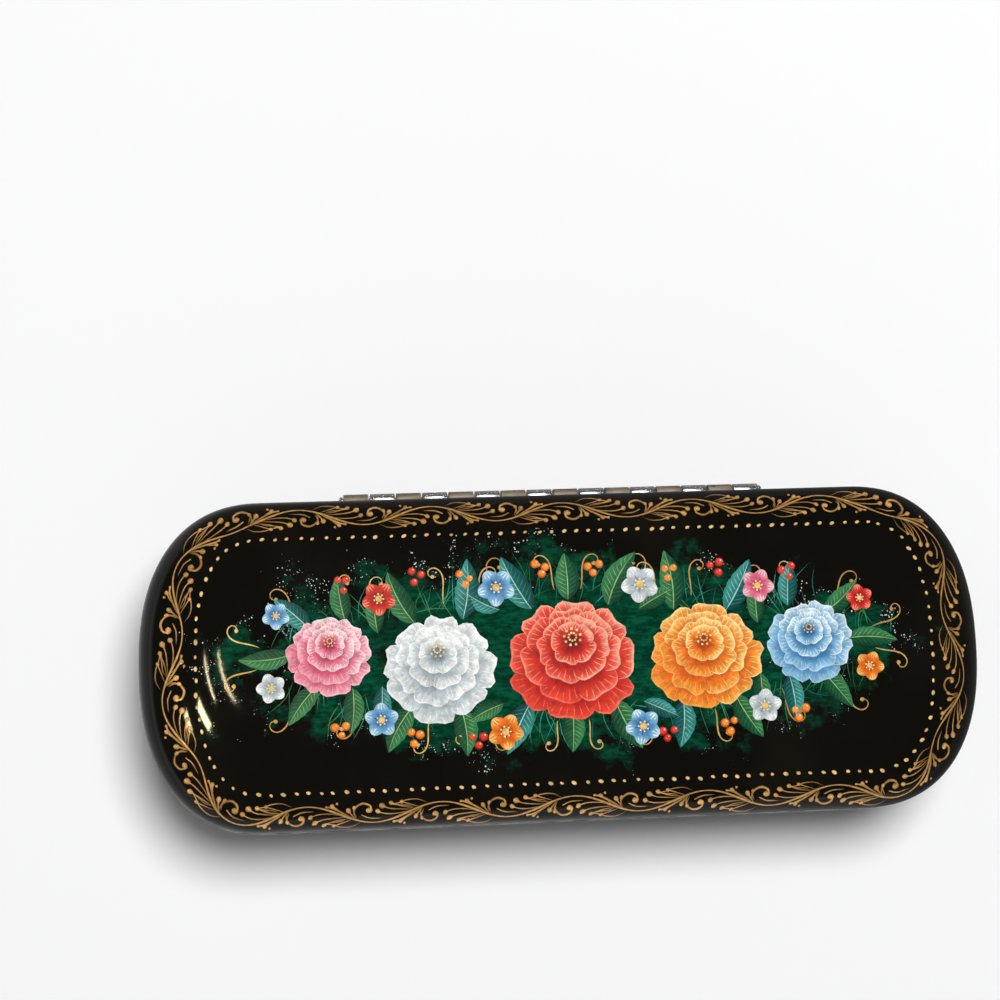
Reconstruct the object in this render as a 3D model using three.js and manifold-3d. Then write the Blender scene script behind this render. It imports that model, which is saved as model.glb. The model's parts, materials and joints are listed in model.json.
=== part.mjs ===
// A clam-shell eyeglass case: two pressed and lacquered shells on a piano hinge,
// flocked linings on foam pads, a snap spring behind the hinge and a soft strip over it.
// Millimetres, +Z up. The case lies closed on its flat underside, the hinge along +Y.
// The origin is the middle of the underside.

import * as THREE from "three";
import { mergeVertices } from "three/addons/utils/BufferGeometryUtils.js";
import Module from "manifold-3d";

const wasm = await Module();
wasm.setup();

// Overall form
const caseLength = 162; // over the rim beads
const caseWidth = 63; // over the rim beads
const baseHeight = 19; // underside to the seam
const lidHeight = 17; // seam to the crown of the lid
const endLength = 24; // length of each rounded end
const endPower = 2.35; // 2 is an ellipse, more is squarer
const endSegments = 18; // facets round each end
const lidWallHeight = 6.4; // seam to where the lid starts to curve in
const baseWallHeight = 8; // seam to where the base starts to curve in

// How each shell turns from its wall into its top or bottom
const lid = { height: lidHeight, wallHeight: lidWallHeight, flatShare: 0.12, power: 3 };
const base = { height: baseHeight, wallHeight: baseWallHeight, flatShare: 0.55, power: 2.4 };
const domeSteps = 8; // facets from wall to flat on a shell
const liningSteps = 7;

// Shells and their rolled rims
const shellWall = 0.8;
const beadProud = 0.25; // the rim bead stands this far out of the wall
const beadHeight = 1.5;
const hemDepth = 1.9; // rim thickness, bead to hem
const hemHeight = 1.2;
const rimRound = 0.3;
const rimGap = 0.2; // between the two rims when shut

// Linings and the foam under them
const liningThickness = 1.2;
const liningRound = 0.4; // soft edge of a lining
const liningGap = 0.15; // hem to lining
const liningDrop = 0.8; // lining edge below the rim
const padThickness = 1.2;
const padShare = { lid: 0.72, base: 0.62 }; // how far towards the wall each pad reaches
const fitGap = 0.1; // between pieces that lie on each other

// Piano hinge
const hingeLength = 82.4;
const knuckleCount = 16;
const knuckleGap = 0.3;
const leafThickness = 0.7;
const leafMargin = 0.2; // leaf edge short of where the wall starts to curve
const axisProud = 0.05; // pin axis behind the rim beads
const pinClearance = 0.1;
const pinHeadLength = 0.8;
const pinHeadProud = 0.4;
const pinHeadRound = 0.4;
const rollGap = 0.3; // between the end of a rolled knuckle and its own leaf
const rollSegments = 14;
const turnClearance = 0.35; // round a turning knuckle
const slotEndGap = 2; // hinge slot beyond the hinge at each end

// Snap spring and the cam lobes it rides on
const springEndMargin = 4; // spring past the rivets that hold it
const springThickness = 0.4;
const springSet = 0.35; // the free edge stands this much further in than the riveted edge
const springReach = 0.6; // free edge above the pin axis
const camLift = 0.25;
const camSpread = 25; // half-width of a lobe, degrees
const camKnuckles = 2; // lid knuckles with a lobe, those nearest the middle
const lidSwing = 95; // how far the lid opens, degrees; a lobe passes the spring half-way

// Rivets
const rivetRadius = 0.8;
const rivetClearance = 0.1;
const rivetHeadRadius = 1.5;
const rivetHeadHeight = 0.55;
const rivetHeadRound = 0.35;
const rivetEndMargin = 6; // hinge end to the outer rivets
const rivetInnerSpacing = 24; // between the two middle rivets
const rivetSegments = 14;

// Soft strip over the inside of the hinge
const coverThickness = 0.8;
const coverEndLap = 7.5; // past each end of the hinge slot
const coverGap = 0.3; // lining to strip
const windowGap = 1.2; // lining window past the hinge leaf and slot
const coverLap = 1.6; // glued edge past the window

// Derived places
const axisY = caseWidth / 2 + axisProud;
const axisZ = baseHeight;
const innerWall = beadProud + shellWall; // inset of a shell's inner wall
const leafBack = axisProud + innerWall + fitGap; // pin axis to the back of a leaf
const leafFront = leafBack + leafThickness;
const knuckleRadius = leafFront; // the leaf is rolled tangent to the barrel
const pinRadius = knuckleRadius - leafThickness - pinClearance;
const leafHeight = Math.min(lid.wallHeight, base.wallHeight) - leafMargin;
const leafStart = knuckleRadius + turnClearance; // leaf edge clear of the other leaf's knuckles
const slotHalf = hingeLength / 2 + slotEndGap;
const hemEnd = hemHeight + hemDepth - innerWall; // where the hem's slope meets the wall
const slotDepth = Math.max(leafStart, hemEnd + fitGap);
const springLength = rivetInnerSpacing + 2 * springEndMargin;
const springSeat = leafFront + fitGap; // pin axis to the back of the riveted edge
const springFree = springSeat + springSet; // pin axis to the back of the free edge
const springGrip = springSeat + springThickness; // pin axis to the seat of the spring's rivets
const rivetDrop = (leafStart + leafHeight) / 2; // pin axis to the rivets
const liningInset = hemDepth + liningGap; // back of a lining's wall
const liningFace = liningInset + liningThickness; // its flocked face
const windowHeight = leafHeight + windowGap; // seam to the far edge of a lining's window
const coverReach = windowHeight + coverLap; // seam to a glued edge of the strip
const hingeFront = Math.max(springFree + 2 * springThickness, springGrip + fitGap + rivetHeadHeight);
const coverBack = Math.max(axisProud + liningFace, hingeFront) + coverGap; // pin axis to the strip
const liningBed = shellWall + padThickness + 2 * fitGap; // outside of the case to a lining's back

// Finishes
const lacquer = { color: 0x14130e, roughness: 0.12, metalness: 0 };
const flock = { color: 0xe9d6d1, roughness: 0.95, metalness: 0 };
const foam = { color: 0xd9d4c8, roughness: 0.9, metalness: 0 };
const nickel = { color: 0xb9b4aa, roughness: 0.25, metalness: 1 };
const springSteel = { color: 0x6b6a6c, roughness: 0.35, metalness: 1 };

// Points of one level of a shell: two straight sides joined by superelliptic ends.
// inset moves the outline in from the rim beads, share shrinks it towards the middle line.
function ring(inset, share, z) {
  const straight = caseLength / 2 - endLength;
  const along = (endLength - inset) * share;
  const across = (caseWidth / 2 - inset) * share;
  const bend = (v) => Math.sign(v) * Math.abs(v) ** (2 / endPower);
  const points = [];
  for (const side of [1, -1]) {
    for (let i = 0; i <= endSegments; i++) {
      const t = (Math.PI * i) / endSegments - Math.PI / 2;
      const reach = straight + along * bend(Math.max(0, Math.cos(t)));
      points.push(new THREE.Vector3(side * reach, side * across * bend(Math.sin(t)), z));
    }
  }
  return points;
}

// Levels from the flat of a shell out to its wall, as {inset, share, h}, h measured from the seam.
// A superellipse: (share)^power + (rise)^power = 1 outside the flat.
function dome(form, inset, drop, steps) {
  const rise = form.height - drop - form.wallHeight;
  const levels = [];
  for (let k = 0; k <= steps; k++) {
    const angle = ((Math.PI / 2) * k) / steps;
    const out = Math.sin(angle) ** (2 / form.power);
    const up = Math.max(0, Math.cos(angle)) ** (2 / form.power);
    const share = form.flatShare + (1 - form.flatShare) * out;
    levels.push({ inset, share, h: form.wallHeight + rise * up });
  }
  return levels;
}

// Skins a list of levels into one closed solid. The first and last levels are closed flat.
// up is 1 for the lid, which rises from the seam, and -1 for the base, which hangs from it.
function loft(levels, up) {
  const rings = levels.map((l) => ring(l.inset, l.share, baseHeight + up * l.h));
  const count = rings[0].length;
  const points = rings.flat();
  const faces = [];
  const face = (a, b, c) => faces.push(...(up > 0 ? [a, b, c] : [a, c, b]));
  rings.slice(1).forEach((_, level) => {
    for (let i = 0; i < count; i++) {
      const j = (i + 1) % count;
      const [a, b] = [level * count, (level + 1) * count];
      face(a + i, b + i, b + j);
      face(a + i, b + j, a + j);
    }
  });
  const last = (rings.length - 1) * count;
  for (let i = 1; i < count - 1; i++) {
    face(0, i, i + 1);
    face(last, last + i + 1, last + i);
  }
  const geometry = new THREE.BufferGeometry().setFromPoints(points);
  geometry.setIndex(faces);
  return geometry;
}

// Solids for joining and cutting
function solid(geometry) {
  const bare = geometry.clone();
  bare.deleteAttribute("normal");
  bare.deleteAttribute("uv");
  const merged = mergeVertices(bare, 1e-4);
  const vertProperties = new Float32Array(merged.attributes.position.array);
  const triVerts = new Uint32Array(merged.index.array);
  return new wasm.Manifold(new wasm.Mesh({ numProp: 3, vertProperties, triVerts }));
}

function geometryOf(shape) {
  const mesh = shape.getMesh();
  const geometry = new THREE.BufferGeometry();
  geometry.setAttribute("position", new THREE.BufferAttribute(mesh.vertProperties, 3));
  geometry.setIndex(new THREE.BufferAttribute(mesh.triVerts, 1));
  geometry.computeVertexNormals();
  return geometry;
}

// A block between two opposite corners.
function block(...corners) {
  const box = new THREE.Box3().setFromPoints(corners.map((c) => new THREE.Vector3(...c)));
  const size = box.getSize(new THREE.Vector3());
  const middle = box.getCenter(new THREE.Vector3());
  return new THREE.BoxGeometry(...size.toArray()).translate(...middle.toArray());
}

// A shape drawn as (y, z) from the pin axis, carried along X and set on the axis.
function alongHinge(shape, from, to) {
  const geometry = new THREE.ExtrudeGeometry(shape, { depth: to - from, bevelEnabled: false });
  const [x, y, z] = [0, 1, 2].map((i) => new THREE.Vector3().setComponent(i, 1));
  geometry.applyMatrix4(new THREE.Matrix4().makeBasis(y, z, x));
  return geometry.translate(from, axisY, axisZ);
}

// Rivets: a flush end in the shell wall, a shank and a low domed head inside.
// They lie along Y; grip is how far the head's seat is from the pin axis.
function rivetPlaces() {
  const outer = hingeLength / 2 - rivetEndMargin;
  const inner = rivetInnerSpacing / 2;
  return [-outer, -inner, inner, outer];
}

function rivet(x, up, grip) {
  const end = -(axisProud + beadProud + fitGap);
  const seat = -(grip + fitGap);
  const top = seat - rivetHeadHeight;
  const profile = [
    [0, top],
    [rivetHeadRadius - rivetHeadRound, top],
    [rivetHeadRadius, top + rivetHeadRound],
    [rivetHeadRadius, seat],
    [rivetRadius, seat],
    [rivetRadius, end],
    [0, end],
  ].map(([r, y]) => new THREE.Vector2(r, y));
  const turned = new THREE.LatheGeometry(profile, rivetSegments);
  return turned.translate(x, axisY, axisZ + up * rivetDrop);
}

function rivetHole(x, up) {
  const radius = rivetRadius + rivetClearance;
  const length = 2 * hingeFront;
  const hole = new THREE.CylinderGeometry(radius, radius, length, rivetSegments);
  return solid(hole.translate(x, axisY, axisZ + up * rivetDrop));
}

function withRivetHoles(shape, up, places = rivetPlaces()) {
  return places.reduce((left, x) => left.subtract(rivetHole(x, up)), shape);
}

// Shell: outer dome, wall, rim bead, rolled hem and the inside of the same sheet,
// with a slot in the back of the rim for the hinge barrel.
function shell(form, up) {
  const half = rimGap / 2;
  const rim = [
    { inset: beadProud, h: beadHeight + beadProud },
    { inset: 0, h: beadHeight },
    { inset: 0, h: half + rimRound },
    { inset: rimRound, h: half },
    { inset: hemDepth - rimRound, h: half },
    { inset: hemDepth, h: half + rimRound },
    { inset: hemDepth, h: hemHeight },
    { inset: innerWall, h: hemEnd },
  ].map((level) => ({ share: 1, ...level }));
  const outside = dome(form, beadProud, 0, domeSteps);
  const inside = dome(form, innerWall, shellWall, domeSteps).reverse();
  const sheet = solid(loft([...outside, ...rim, ...inside], up));
  const slot = block(
    [-slotHalf, axisY - axisProud - hemDepth - fitGap, axisZ - slotDepth],
    [slotHalf, axisY + knuckleRadius, axisZ + slotDepth],
  );
  return geometryOf(withRivetHoles(sheet.subtract(solid(slot)), up));
}

// Foam pad lying on the flat of a shell, following its crown.
function foamPad(form, up, reach) {
  const under = dome(form, innerWall, shellWall + fitGap, domeSteps);
  const over = dome(form, innerWall, shellWall + fitGap + padThickness, domeSteps);
  const inReach = (level) => level.share < reach;
  return loft([...under.filter(inReach), ...over.filter(inReach).reverse()], up);
}

// Flocked tray inside a shell, with a window in its back wall for the hinge leaf.
function lining(form, up) {
  const edge = [
    { inset: liningInset, h: liningDrop + liningRound },
    { inset: liningInset + liningRound, h: liningDrop },
    { inset: liningFace - liningRound, h: liningDrop },
    { inset: liningFace, h: liningDrop + liningRound },
  ].map((level) => ({ share: 1, ...level }));
  const outside = dome(form, liningInset, liningBed, liningSteps);
  const tray = solid(loft([...outside, ...edge, ...liningInside(form)], up));
  const half = slotHalf + windowGap;
  const front = axisY - axisProud - liningFace - liningThickness;
  const window = block([-half, front, axisZ], [half, axisY, axisZ + up * windowHeight]);
  return geometryOf(tray.subtract(solid(window)));
}

// Levels of a lining's flocked face, from the top of its wall to its floor.
function liningInside(form) {
  return dome(form, liningFace, liningBed + liningThickness, liningSteps).reverse();
}

// One rolled knuckle with the tail of leaf that it grows from. On the lid's leaf it comes
// down from the leaf and goes under, behind and over the pin; the base's is its mirror image.
function knuckleShape(up, lift) {
  const bore = knuckleRadius - leafThickness;
  const end = Math.PI * 2 + Math.acos((rollGap - leafBack) / knuckleRadius);
  const lobe = THREE.MathUtils.degToRad(180 + lidSwing / 2);
  const spread = THREE.MathUtils.degToRad(camSpread);
  const shape = new THREE.Shape();
  const at = (angle, radius) => [Math.cos(angle) * radius, up * Math.sin(angle) * radius];
  const angles = Array.from({ length: rollSegments + 1 }, (_, i) => {
    return Math.PI + ((end - Math.PI) * i) / rollSegments;
  });
  shape.moveTo(-leafBack, up * (leafStart + fitGap));
  shape.lineTo(-leafFront, up * (leafStart + fitGap));
  for (const angle of angles) {
    const near = Math.max(0, 1 - ((angle - lobe) / spread) ** 2);
    shape.lineTo(...at(angle, knuckleRadius + lift * near));
  }
  for (const angle of angles.reverse()) shape.lineTo(...at(angle, bore));
  return shape;
}

// Hinge leaf: a plate along the inside of the shell wall and every second knuckle.
// The lid's leaf also carries the cam lobes, on the knuckles nearest the middle.
function hingeLeaf(up) {
  const pitch = hingeLength / knuckleCount;
  const first = up > 0 ? 0 : 1;
  const middle = (knuckleCount - 1) / 2;
  let leaf = solid(
    block(
      [-hingeLength / 2, axisY - leafFront, axisZ + up * leafStart],
      [hingeLength / 2, axisY - leafBack, axisZ + up * leafHeight],
    ),
  );
  for (let i = first; i < knuckleCount; i += 2) {
    const from = -hingeLength / 2 + i * pitch + knuckleGap / 2;
    const lift = up > 0 && Math.abs(i - middle) < camKnuckles ? camLift : 0;
    const roll = alongHinge(knuckleShape(up, lift), from, from + pitch - knuckleGap);
    leaf = leaf.add(solid(roll));
  }
  return geometryOf(withRivetHoles(leaf, up));
}

// Hinge pin with a peened head at each end.
function hingePin() {
  const half = hingeLength / 2;
  const headRadius = pinRadius + pinHeadProud;
  const tip = half + pinHeadLength;
  const profile = [
    [0, -tip],
    [headRadius - pinHeadRound, -tip],
    [headRadius, pinHeadRound - tip],
    [headRadius, -half],
    [pinRadius, -half],
    [pinRadius, half],
    [headRadius, half],
    [headRadius, tip - pinHeadRound],
    [headRadius - pinHeadRound, tip],
    [0, tip],
  ].map(([r, y]) => new THREE.Vector2(r, y));
  const pin = new THREE.LatheGeometry(profile, rollSegments);
  return pin.rotateZ(-Math.PI / 2).translate(0, axisY, axisZ);
}

// Flat snap spring: riveted edge on the base's leaf, a set inwards, and a curled free edge
// that the cam lobes of the lid's leaf pass.
function snapSpring() {
  const bendLow = -leafStart - springThickness;
  const bendHigh = bendLow + 2 * springSet;
  const spine = [
    [-springSeat, -leafHeight],
    [-springSeat, bendLow],
    [-springFree, bendHigh],
    [-springFree, springReach - springThickness],
    [-springFree - springThickness, springReach],
  ];
  const front = spine.map(([y, z]) => [y - springThickness, z]).reverse();
  const shape = new THREE.Shape([...spine, ...front].map(([y, z]) => new THREE.Vector2(y, z)));
  const strip = alongHinge(shape, -springLength / 2, springLength / 2);
  return geometryOf(withRivetHoles(solid(strip), -1, springRivets()));
}

function springRivets() {
  return rivetPlaces().filter((x) => Math.abs(x) < springLength / 2);
}

// Where the back of the soft strip lies against one lining, as (y, z) from the pin axis:
// from the seam along the lining's face to the glued edge.
function coverSide(form, up) {
  const levels = [{ share: 1, h: 0 }, ...liningInside(form)];
  const next = levels.findIndex((level) => level.h > coverReach);
  const [a, b] = [levels[next - 1], levels[next]];
  const share = THREE.MathUtils.mapLinear(coverReach, a.h, b.h, a.share, b.share);
  const across = caseWidth / 2 - liningFace;
  return [...levels.slice(0, next), { share, h: coverReach }].map((level) => {
    return new THREE.Vector2(across * (level.share - 1) - coverBack, up * level.h);
  });
}

// Soft strip glued to both linings over the hinge window.
function hingeCover() {
  const half = slotHalf + coverEndLap;
  const below = coverSide(base, -1).slice(1).reverse();
  const back = [...below, ...coverSide(lid, 1)];
  const front = back.map((p) => new THREE.Vector2(p.x - coverThickness, p.y)).reverse();
  return alongHinge(new THREE.Shape([...back, ...front]), -half, half);
}

const eyeglassCase = new THREE.Group();

function place(name, geometry, finish) {
  const mesh = new THREE.Mesh(geometry, new THREE.MeshStandardMaterial(finish));
  mesh.name = name;
  eyeglassCase.add(mesh);
}

place("base_shell", shell(base, -1), lacquer);
place("base_foam_pad", foamPad(base, -1, padShare.base), foam);
place("base_lining", lining(base, -1), flock);
place("base_hinge_leaf", hingeLeaf(-1), nickel);
place("hinge_pin", hingePin(), nickel);
place("snap_spring", snapSpring(), springSteel);
place("hinge_cover", hingeCover(), flock);
place("lid_shell", shell(lid, 1), lacquer);
place("lid_foam_pad", foamPad(lid, 1, padShare.lid), foam);
place("lid_lining", lining(lid, 1), flock);
place("lid_hinge_leaf", hingeLeaf(1), nickel);

rivetPlaces().forEach((x, i) => {
  const holdsSpring = springRivets().includes(x);
  place(`base_rivet_${i + 1}`, rivet(x, -1, holdsSpring ? springGrip : leafFront), nickel);
  place(`lid_rivet_${i + 1}`, rivet(x, 1, leafFront), nickel);
});

export default eyeglassCase;
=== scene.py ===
"""Looks for a lacquered eyeglass case: smooth shells with rolled rims, a painted lid,
flocked linings, a piano hinge, and the studio that they are seen in. Metres, +Z up."""

import json
import math

import bmesh
import bpy
import numpy as np
from bpy.props import FloatProperty, FloatVectorProperty, IntProperty, PointerProperty
from bpy.types import Operator, Panel, PropertyGroup
from mathutils import Matrix, Vector


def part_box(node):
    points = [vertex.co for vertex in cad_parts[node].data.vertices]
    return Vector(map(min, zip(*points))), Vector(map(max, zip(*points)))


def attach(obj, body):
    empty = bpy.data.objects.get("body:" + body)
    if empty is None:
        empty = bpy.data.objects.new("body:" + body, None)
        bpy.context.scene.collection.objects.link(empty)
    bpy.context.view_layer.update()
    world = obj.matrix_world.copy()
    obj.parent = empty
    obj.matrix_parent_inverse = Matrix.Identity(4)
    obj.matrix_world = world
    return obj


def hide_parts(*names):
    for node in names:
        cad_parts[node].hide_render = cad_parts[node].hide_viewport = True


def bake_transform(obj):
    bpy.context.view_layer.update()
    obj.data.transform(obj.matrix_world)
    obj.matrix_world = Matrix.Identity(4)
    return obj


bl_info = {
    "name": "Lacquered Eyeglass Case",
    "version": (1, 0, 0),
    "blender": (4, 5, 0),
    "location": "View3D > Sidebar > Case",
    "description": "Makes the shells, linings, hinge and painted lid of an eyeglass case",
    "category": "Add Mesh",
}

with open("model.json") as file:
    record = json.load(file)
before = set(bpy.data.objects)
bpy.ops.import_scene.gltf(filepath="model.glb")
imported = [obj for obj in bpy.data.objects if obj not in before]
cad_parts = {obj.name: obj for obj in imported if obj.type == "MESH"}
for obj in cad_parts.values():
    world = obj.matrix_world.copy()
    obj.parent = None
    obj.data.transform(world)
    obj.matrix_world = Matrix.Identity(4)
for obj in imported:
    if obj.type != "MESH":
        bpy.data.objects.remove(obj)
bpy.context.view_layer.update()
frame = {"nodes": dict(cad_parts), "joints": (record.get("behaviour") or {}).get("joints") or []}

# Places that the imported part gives
SHELL_LOW, SHELL_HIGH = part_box("lid_shell")
LEAF_LOW, LEAF_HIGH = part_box("lid_hinge_leaf")
COVER_LOW, COVER_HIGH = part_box("hinge_cover")
LID_HINGE = frame["joints"][0]
HINGE_Y, HINGE_Z = LID_HINGE["pos_m"][1:]
LID_SWING = math.radians(LID_HINGE["range_deg"][1])
MM = 0.001


# Properties that a user would change

def metres(name, description, default):
    return FloatProperty(name=name, description=description, default=default, unit="LENGTH", precision=5)


def ratio(name, description, default):
    return FloatProperty(name=name, description=description, default=default, subtype="FACTOR")


def number(name, description, default, unit="NONE"):
    return FloatProperty(name=name, description=description, default=default, unit=unit)


def colour(name, description, default):
    return FloatVectorProperty(
        name=name, description=description, default=default, subtype="COLOR", size=3, min=0, max=1
    )


class CaseShape(PropertyGroup):
    """Outline and sections of the two shells and their linings."""

    length: metres("Length", "Over the rim beads", SHELL_HIGH.x - SHELL_LOW.x)
    width: metres("Width", "Over the rim beads", SHELL_HIGH.y - SHELL_LOW.y)
    seam: metres("Seam", "Height of the seam over the underside", HINGE_Z)
    crown: metres("Crown", "Rise of the lid over the seam", SHELL_HIGH.z - HINGE_Z)
    end_length: metres("End length", "Length of each rounded end", 24 * MM)
    end_power: number("End power", "2 is an ellipse, more is squarer", 2.35)
    lid_wall: metres("Lid wall", "Height of the lid's upright wall", 6.4 * MM)
    lid_flat: ratio("Lid flat", "Share of the lid that stays flat", 0.12)
    lid_power: number("Lid power", "Fullness of the lid's dome", 3.0)
    base_wall: metres("Base wall", "Height of the base's upright wall", 8 * MM)
    base_flat: ratio("Base flat", "Share of the base that stays flat", 0.55)
    base_power: number("Base power", "Fullness of the base's turn", 2.4)
    sheet: metres("Sheet", "Thickness of a shell", 0.8 * MM)
    bead: metres("Bead", "How far the rim bead stands out of the wall", 0.25 * MM)
    bead_height: metres("Bead height", "Seam to the top of the rim bead", 1.5 * MM)
    rim_gap: metres("Rim gap", "Between the two rims when shut", 0.2 * MM)
    rim_round: metres("Rim round", "Rounding of the rolled rim", 0.3 * MM)
    hem_depth: metres("Hem depth", "Rim thickness, bead to hem", 1.9 * MM)
    hem_height: metres("Hem height", "Depth of the hem rolled inside", 1.2 * MM)
    slot_margin: metres("Slot margin", "Hinge slot past the hinge at each end", 2 * MM)
    slot_depth: metres("Slot depth", "Seam to the edge of the hinge slot", 2.25 * MM)
    lining_gap: metres("Lining gap", "Hem to lining", 0.15 * MM)
    lining: metres("Lining", "Thickness of a lining", 1.2 * MM)
    lining_round: metres("Lining round", "Soft edge of a lining", 0.4 * MM)
    lining_drop: metres("Lining drop", "Lining edge below the rim", 0.8 * MM)
    lining_bed: metres("Lining bed", "Outside of the case to a lining's back", 2.2 * MM)
    window_gap: metres("Window gap", "Lining window past the hinge leaf and slot", 1.2 * MM)
    pad: metres("Pad", "Thickness of a foam pad", 1.2 * MM)
    pad_bed: metres("Pad bed", "Outside of the case to a pad", 0.9 * MM)
    lid_pad: ratio("Lid pad", "How far the lid's pad reaches towards the wall", 0.70)
    base_pad: ratio("Base pad", "How far the base's pad reaches towards the wall", 0.60)


class HingeShape(PropertyGroup):
    """Piano hinge of rolled knuckles."""

    length: metres("Length", "Over the knuckles", LEAF_HIGH.x - LEAF_LOW.x)
    knuckles: IntProperty(name="Knuckles", description="Rolled knuckles of both leaves", default=16)
    gap: metres("Gap", "Between neighbouring knuckles", 0.3 * MM)
    leaf: metres("Leaf", "Thickness of a leaf", 0.7 * MM)
    back: metres("Back", "Pin axis to the back of a leaf", 1.2 * MM)
    start: metres("Start", "Pin axis to the edge of a leaf's plate", 2.25 * MM)
    reach: metres("Reach", "Pin axis to the far edge of a leaf", LEAF_HIGH.z - HINGE_Z)
    roll_gap: metres("Roll gap", "End of a roll to its own leaf", 0.3 * MM)
    edge: metres("Edge", "Rounding of a leaf's cut edges", 0.12 * MM)
    lap: metres("Lap", "How far a knuckle's tail runs into its leaf's plate", 0.2 * MM)
    lobe: metres("Lobe", "Height of the cam lobes", 0.25 * MM)
    lobe_spread: FloatProperty(
        name="Lobe spread", description="A lobe's crest to its foot",
        default=math.radians(25), subtype="ANGLE",
    )
    pin: metres("Pin", "Pin radius", 1.1 * MM)
    pin_head: metres("Pin head", "Length of a peened head", 0.8 * MM)
    pin_proud: metres("Pin proud", "A peened head past the pin", 0.4 * MM)
    cover: metres("Cover", "Thickness of the soft strip over the hinge", 0.8 * MM)
    cover_corner: metres("Cover corner", "Radius of the strip's corners", 3.5 * MM)
    cover_end: metres("Cover end", "Over which the strip thins out at its ends", 5 * MM)
    cover_slope: ratio("Cover slope", "Share of the strip's half-width over which it thins out", 0.7)
    crease: metres("Crease", "Height of the strip's creases", 0.25 * MM)
    crease_pitch: metres("Crease pitch", "Between the strip's creases", 3.2 * MM)


class BorderPaint(PropertyGroup):
    """Gold scroll round the lid and the line of dots inside it."""

    scroll_length: metres("Scroll length", "Half-length of the scroll's middle line", 74.3 * MM)
    scroll_width: metres("Scroll width", "Half-width of the scroll's middle line", 27.8 * MM)
    scroll_power: number("Scroll power", "Squareness of its ends", 2.4)
    waves: IntProperty(name="Waves", description="Full waves of the scroll round the lid", default=15)
    swing: metres("Swing", "How far the stem swings from the middle line", 1.65 * MM)
    end_spread: ratio("End spread", "How much wider the scroll is at the ends", 0.2)
    fine: ratio("Fine", "Width of the strokes as a share of the drawn ones", 1.0)
    # A stroke's darker edges are painted shade, and its paler crown is a painted highlight
    edge_painted_shade: ratio("Thin edge", "Brightness of the thin paint at a stroke's edges", 0.38)
    crown_highlight_gold: ratio("Crown gold", "Share of the gold in the thick paint along a stroke's crown", 0.80)
    crown_highlight_pale: ratio("Crown pale gold", "Share of the pale gold there", 0.24)
    off_centre: metres("Off centre", "Hand-drawn lines lie this much towards the front", 0.45 * MM)
    dot_length: metres("Dot length", "Half-length of the line of dots", 69.8 * MM)
    dot_width: metres("Dot width", "Half-width of the line of dots", 23.7 * MM)
    dot_power: number("Dot power", "Squareness of its ends", 2.6)
    dot_pitch: metres("Dot pitch", "Between neighbouring dots", 2.37 * MM)
    dot_radius: metres("Dot radius", "Radius of a dot", 0.41 * MM)
    dot_wander: metres("Dot wander", "Scatter of the dots about their line", 0.08 * MM)
    relief: metres("Relief", "Height of a brush mark over the lacquer", 0.035 * MM)
    gold: colour("Gold", "Gold of the scroll", (0.80, 0.39, 0.095))
    pale_gold: colour("Pale gold", "Gold of the dots", (1.0, 0.74, 0.33))


class CaseFinish(PropertyGroup):
    """Colours of the finishes, and the size of the green ground."""

    lacquer: colour("Lacquer", "Black lacquer", (0.0048, 0.0044, 0.0034))
    lacquer_warm: colour("Warm lacquer", "Brownish clouds in the lacquer", (0.0078, 0.0066, 0.0044))
    ground: colour("Ground", "Green ground behind the flowers", (0.0012, 0.026, 0.013))
    ground_light: colour("Light ground", "Lighter brush marks in the green ground", (0.003, 0.085, 0.04))
    ground_length: metres("Ground length", "Half-length of the green ground", 62 * MM)
    ground_width: metres("Ground width", "Half-width of the green ground", 18.5 * MM)
    # Pale band along the rim beads: a painted highlight, partly rubbed lacquer
    bead_highlight_and_wear: colour("Worn bead", "Lacquer rubbed thin along the rim beads", (0.33, 0.32, 0.30))
    fleck: colour("Fleck", "Fine sprayed flecks", (0.62, 0.66, 0.66))
    flock: colour("Flock", "Flocked lining", (0.87, 0.80, 0.768))
    flock_shade: colour("Flock shade", "Nap brushed the other way", (0.80, 0.72, 0.69))
    nickel: colour("Nickel", "Bright hinge leaf, pin and rivets", (0.95, 0.935, 0.90))
    # The lid leaf's nickel is a darker, browner shaded copy of the bright one: painted shade for dark
    # reflections
    nickel_shaded: colour("Dull nickel", "Tarnished hinge leaf", (0.36, 0.295, 0.225))
    spring: colour("Spring steel", "Blued spring", (0.17, 0.17, 0.185))
    foam: colour("Foam", "Pads under the linings", (0.68, 0.63, 0.54))


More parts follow.
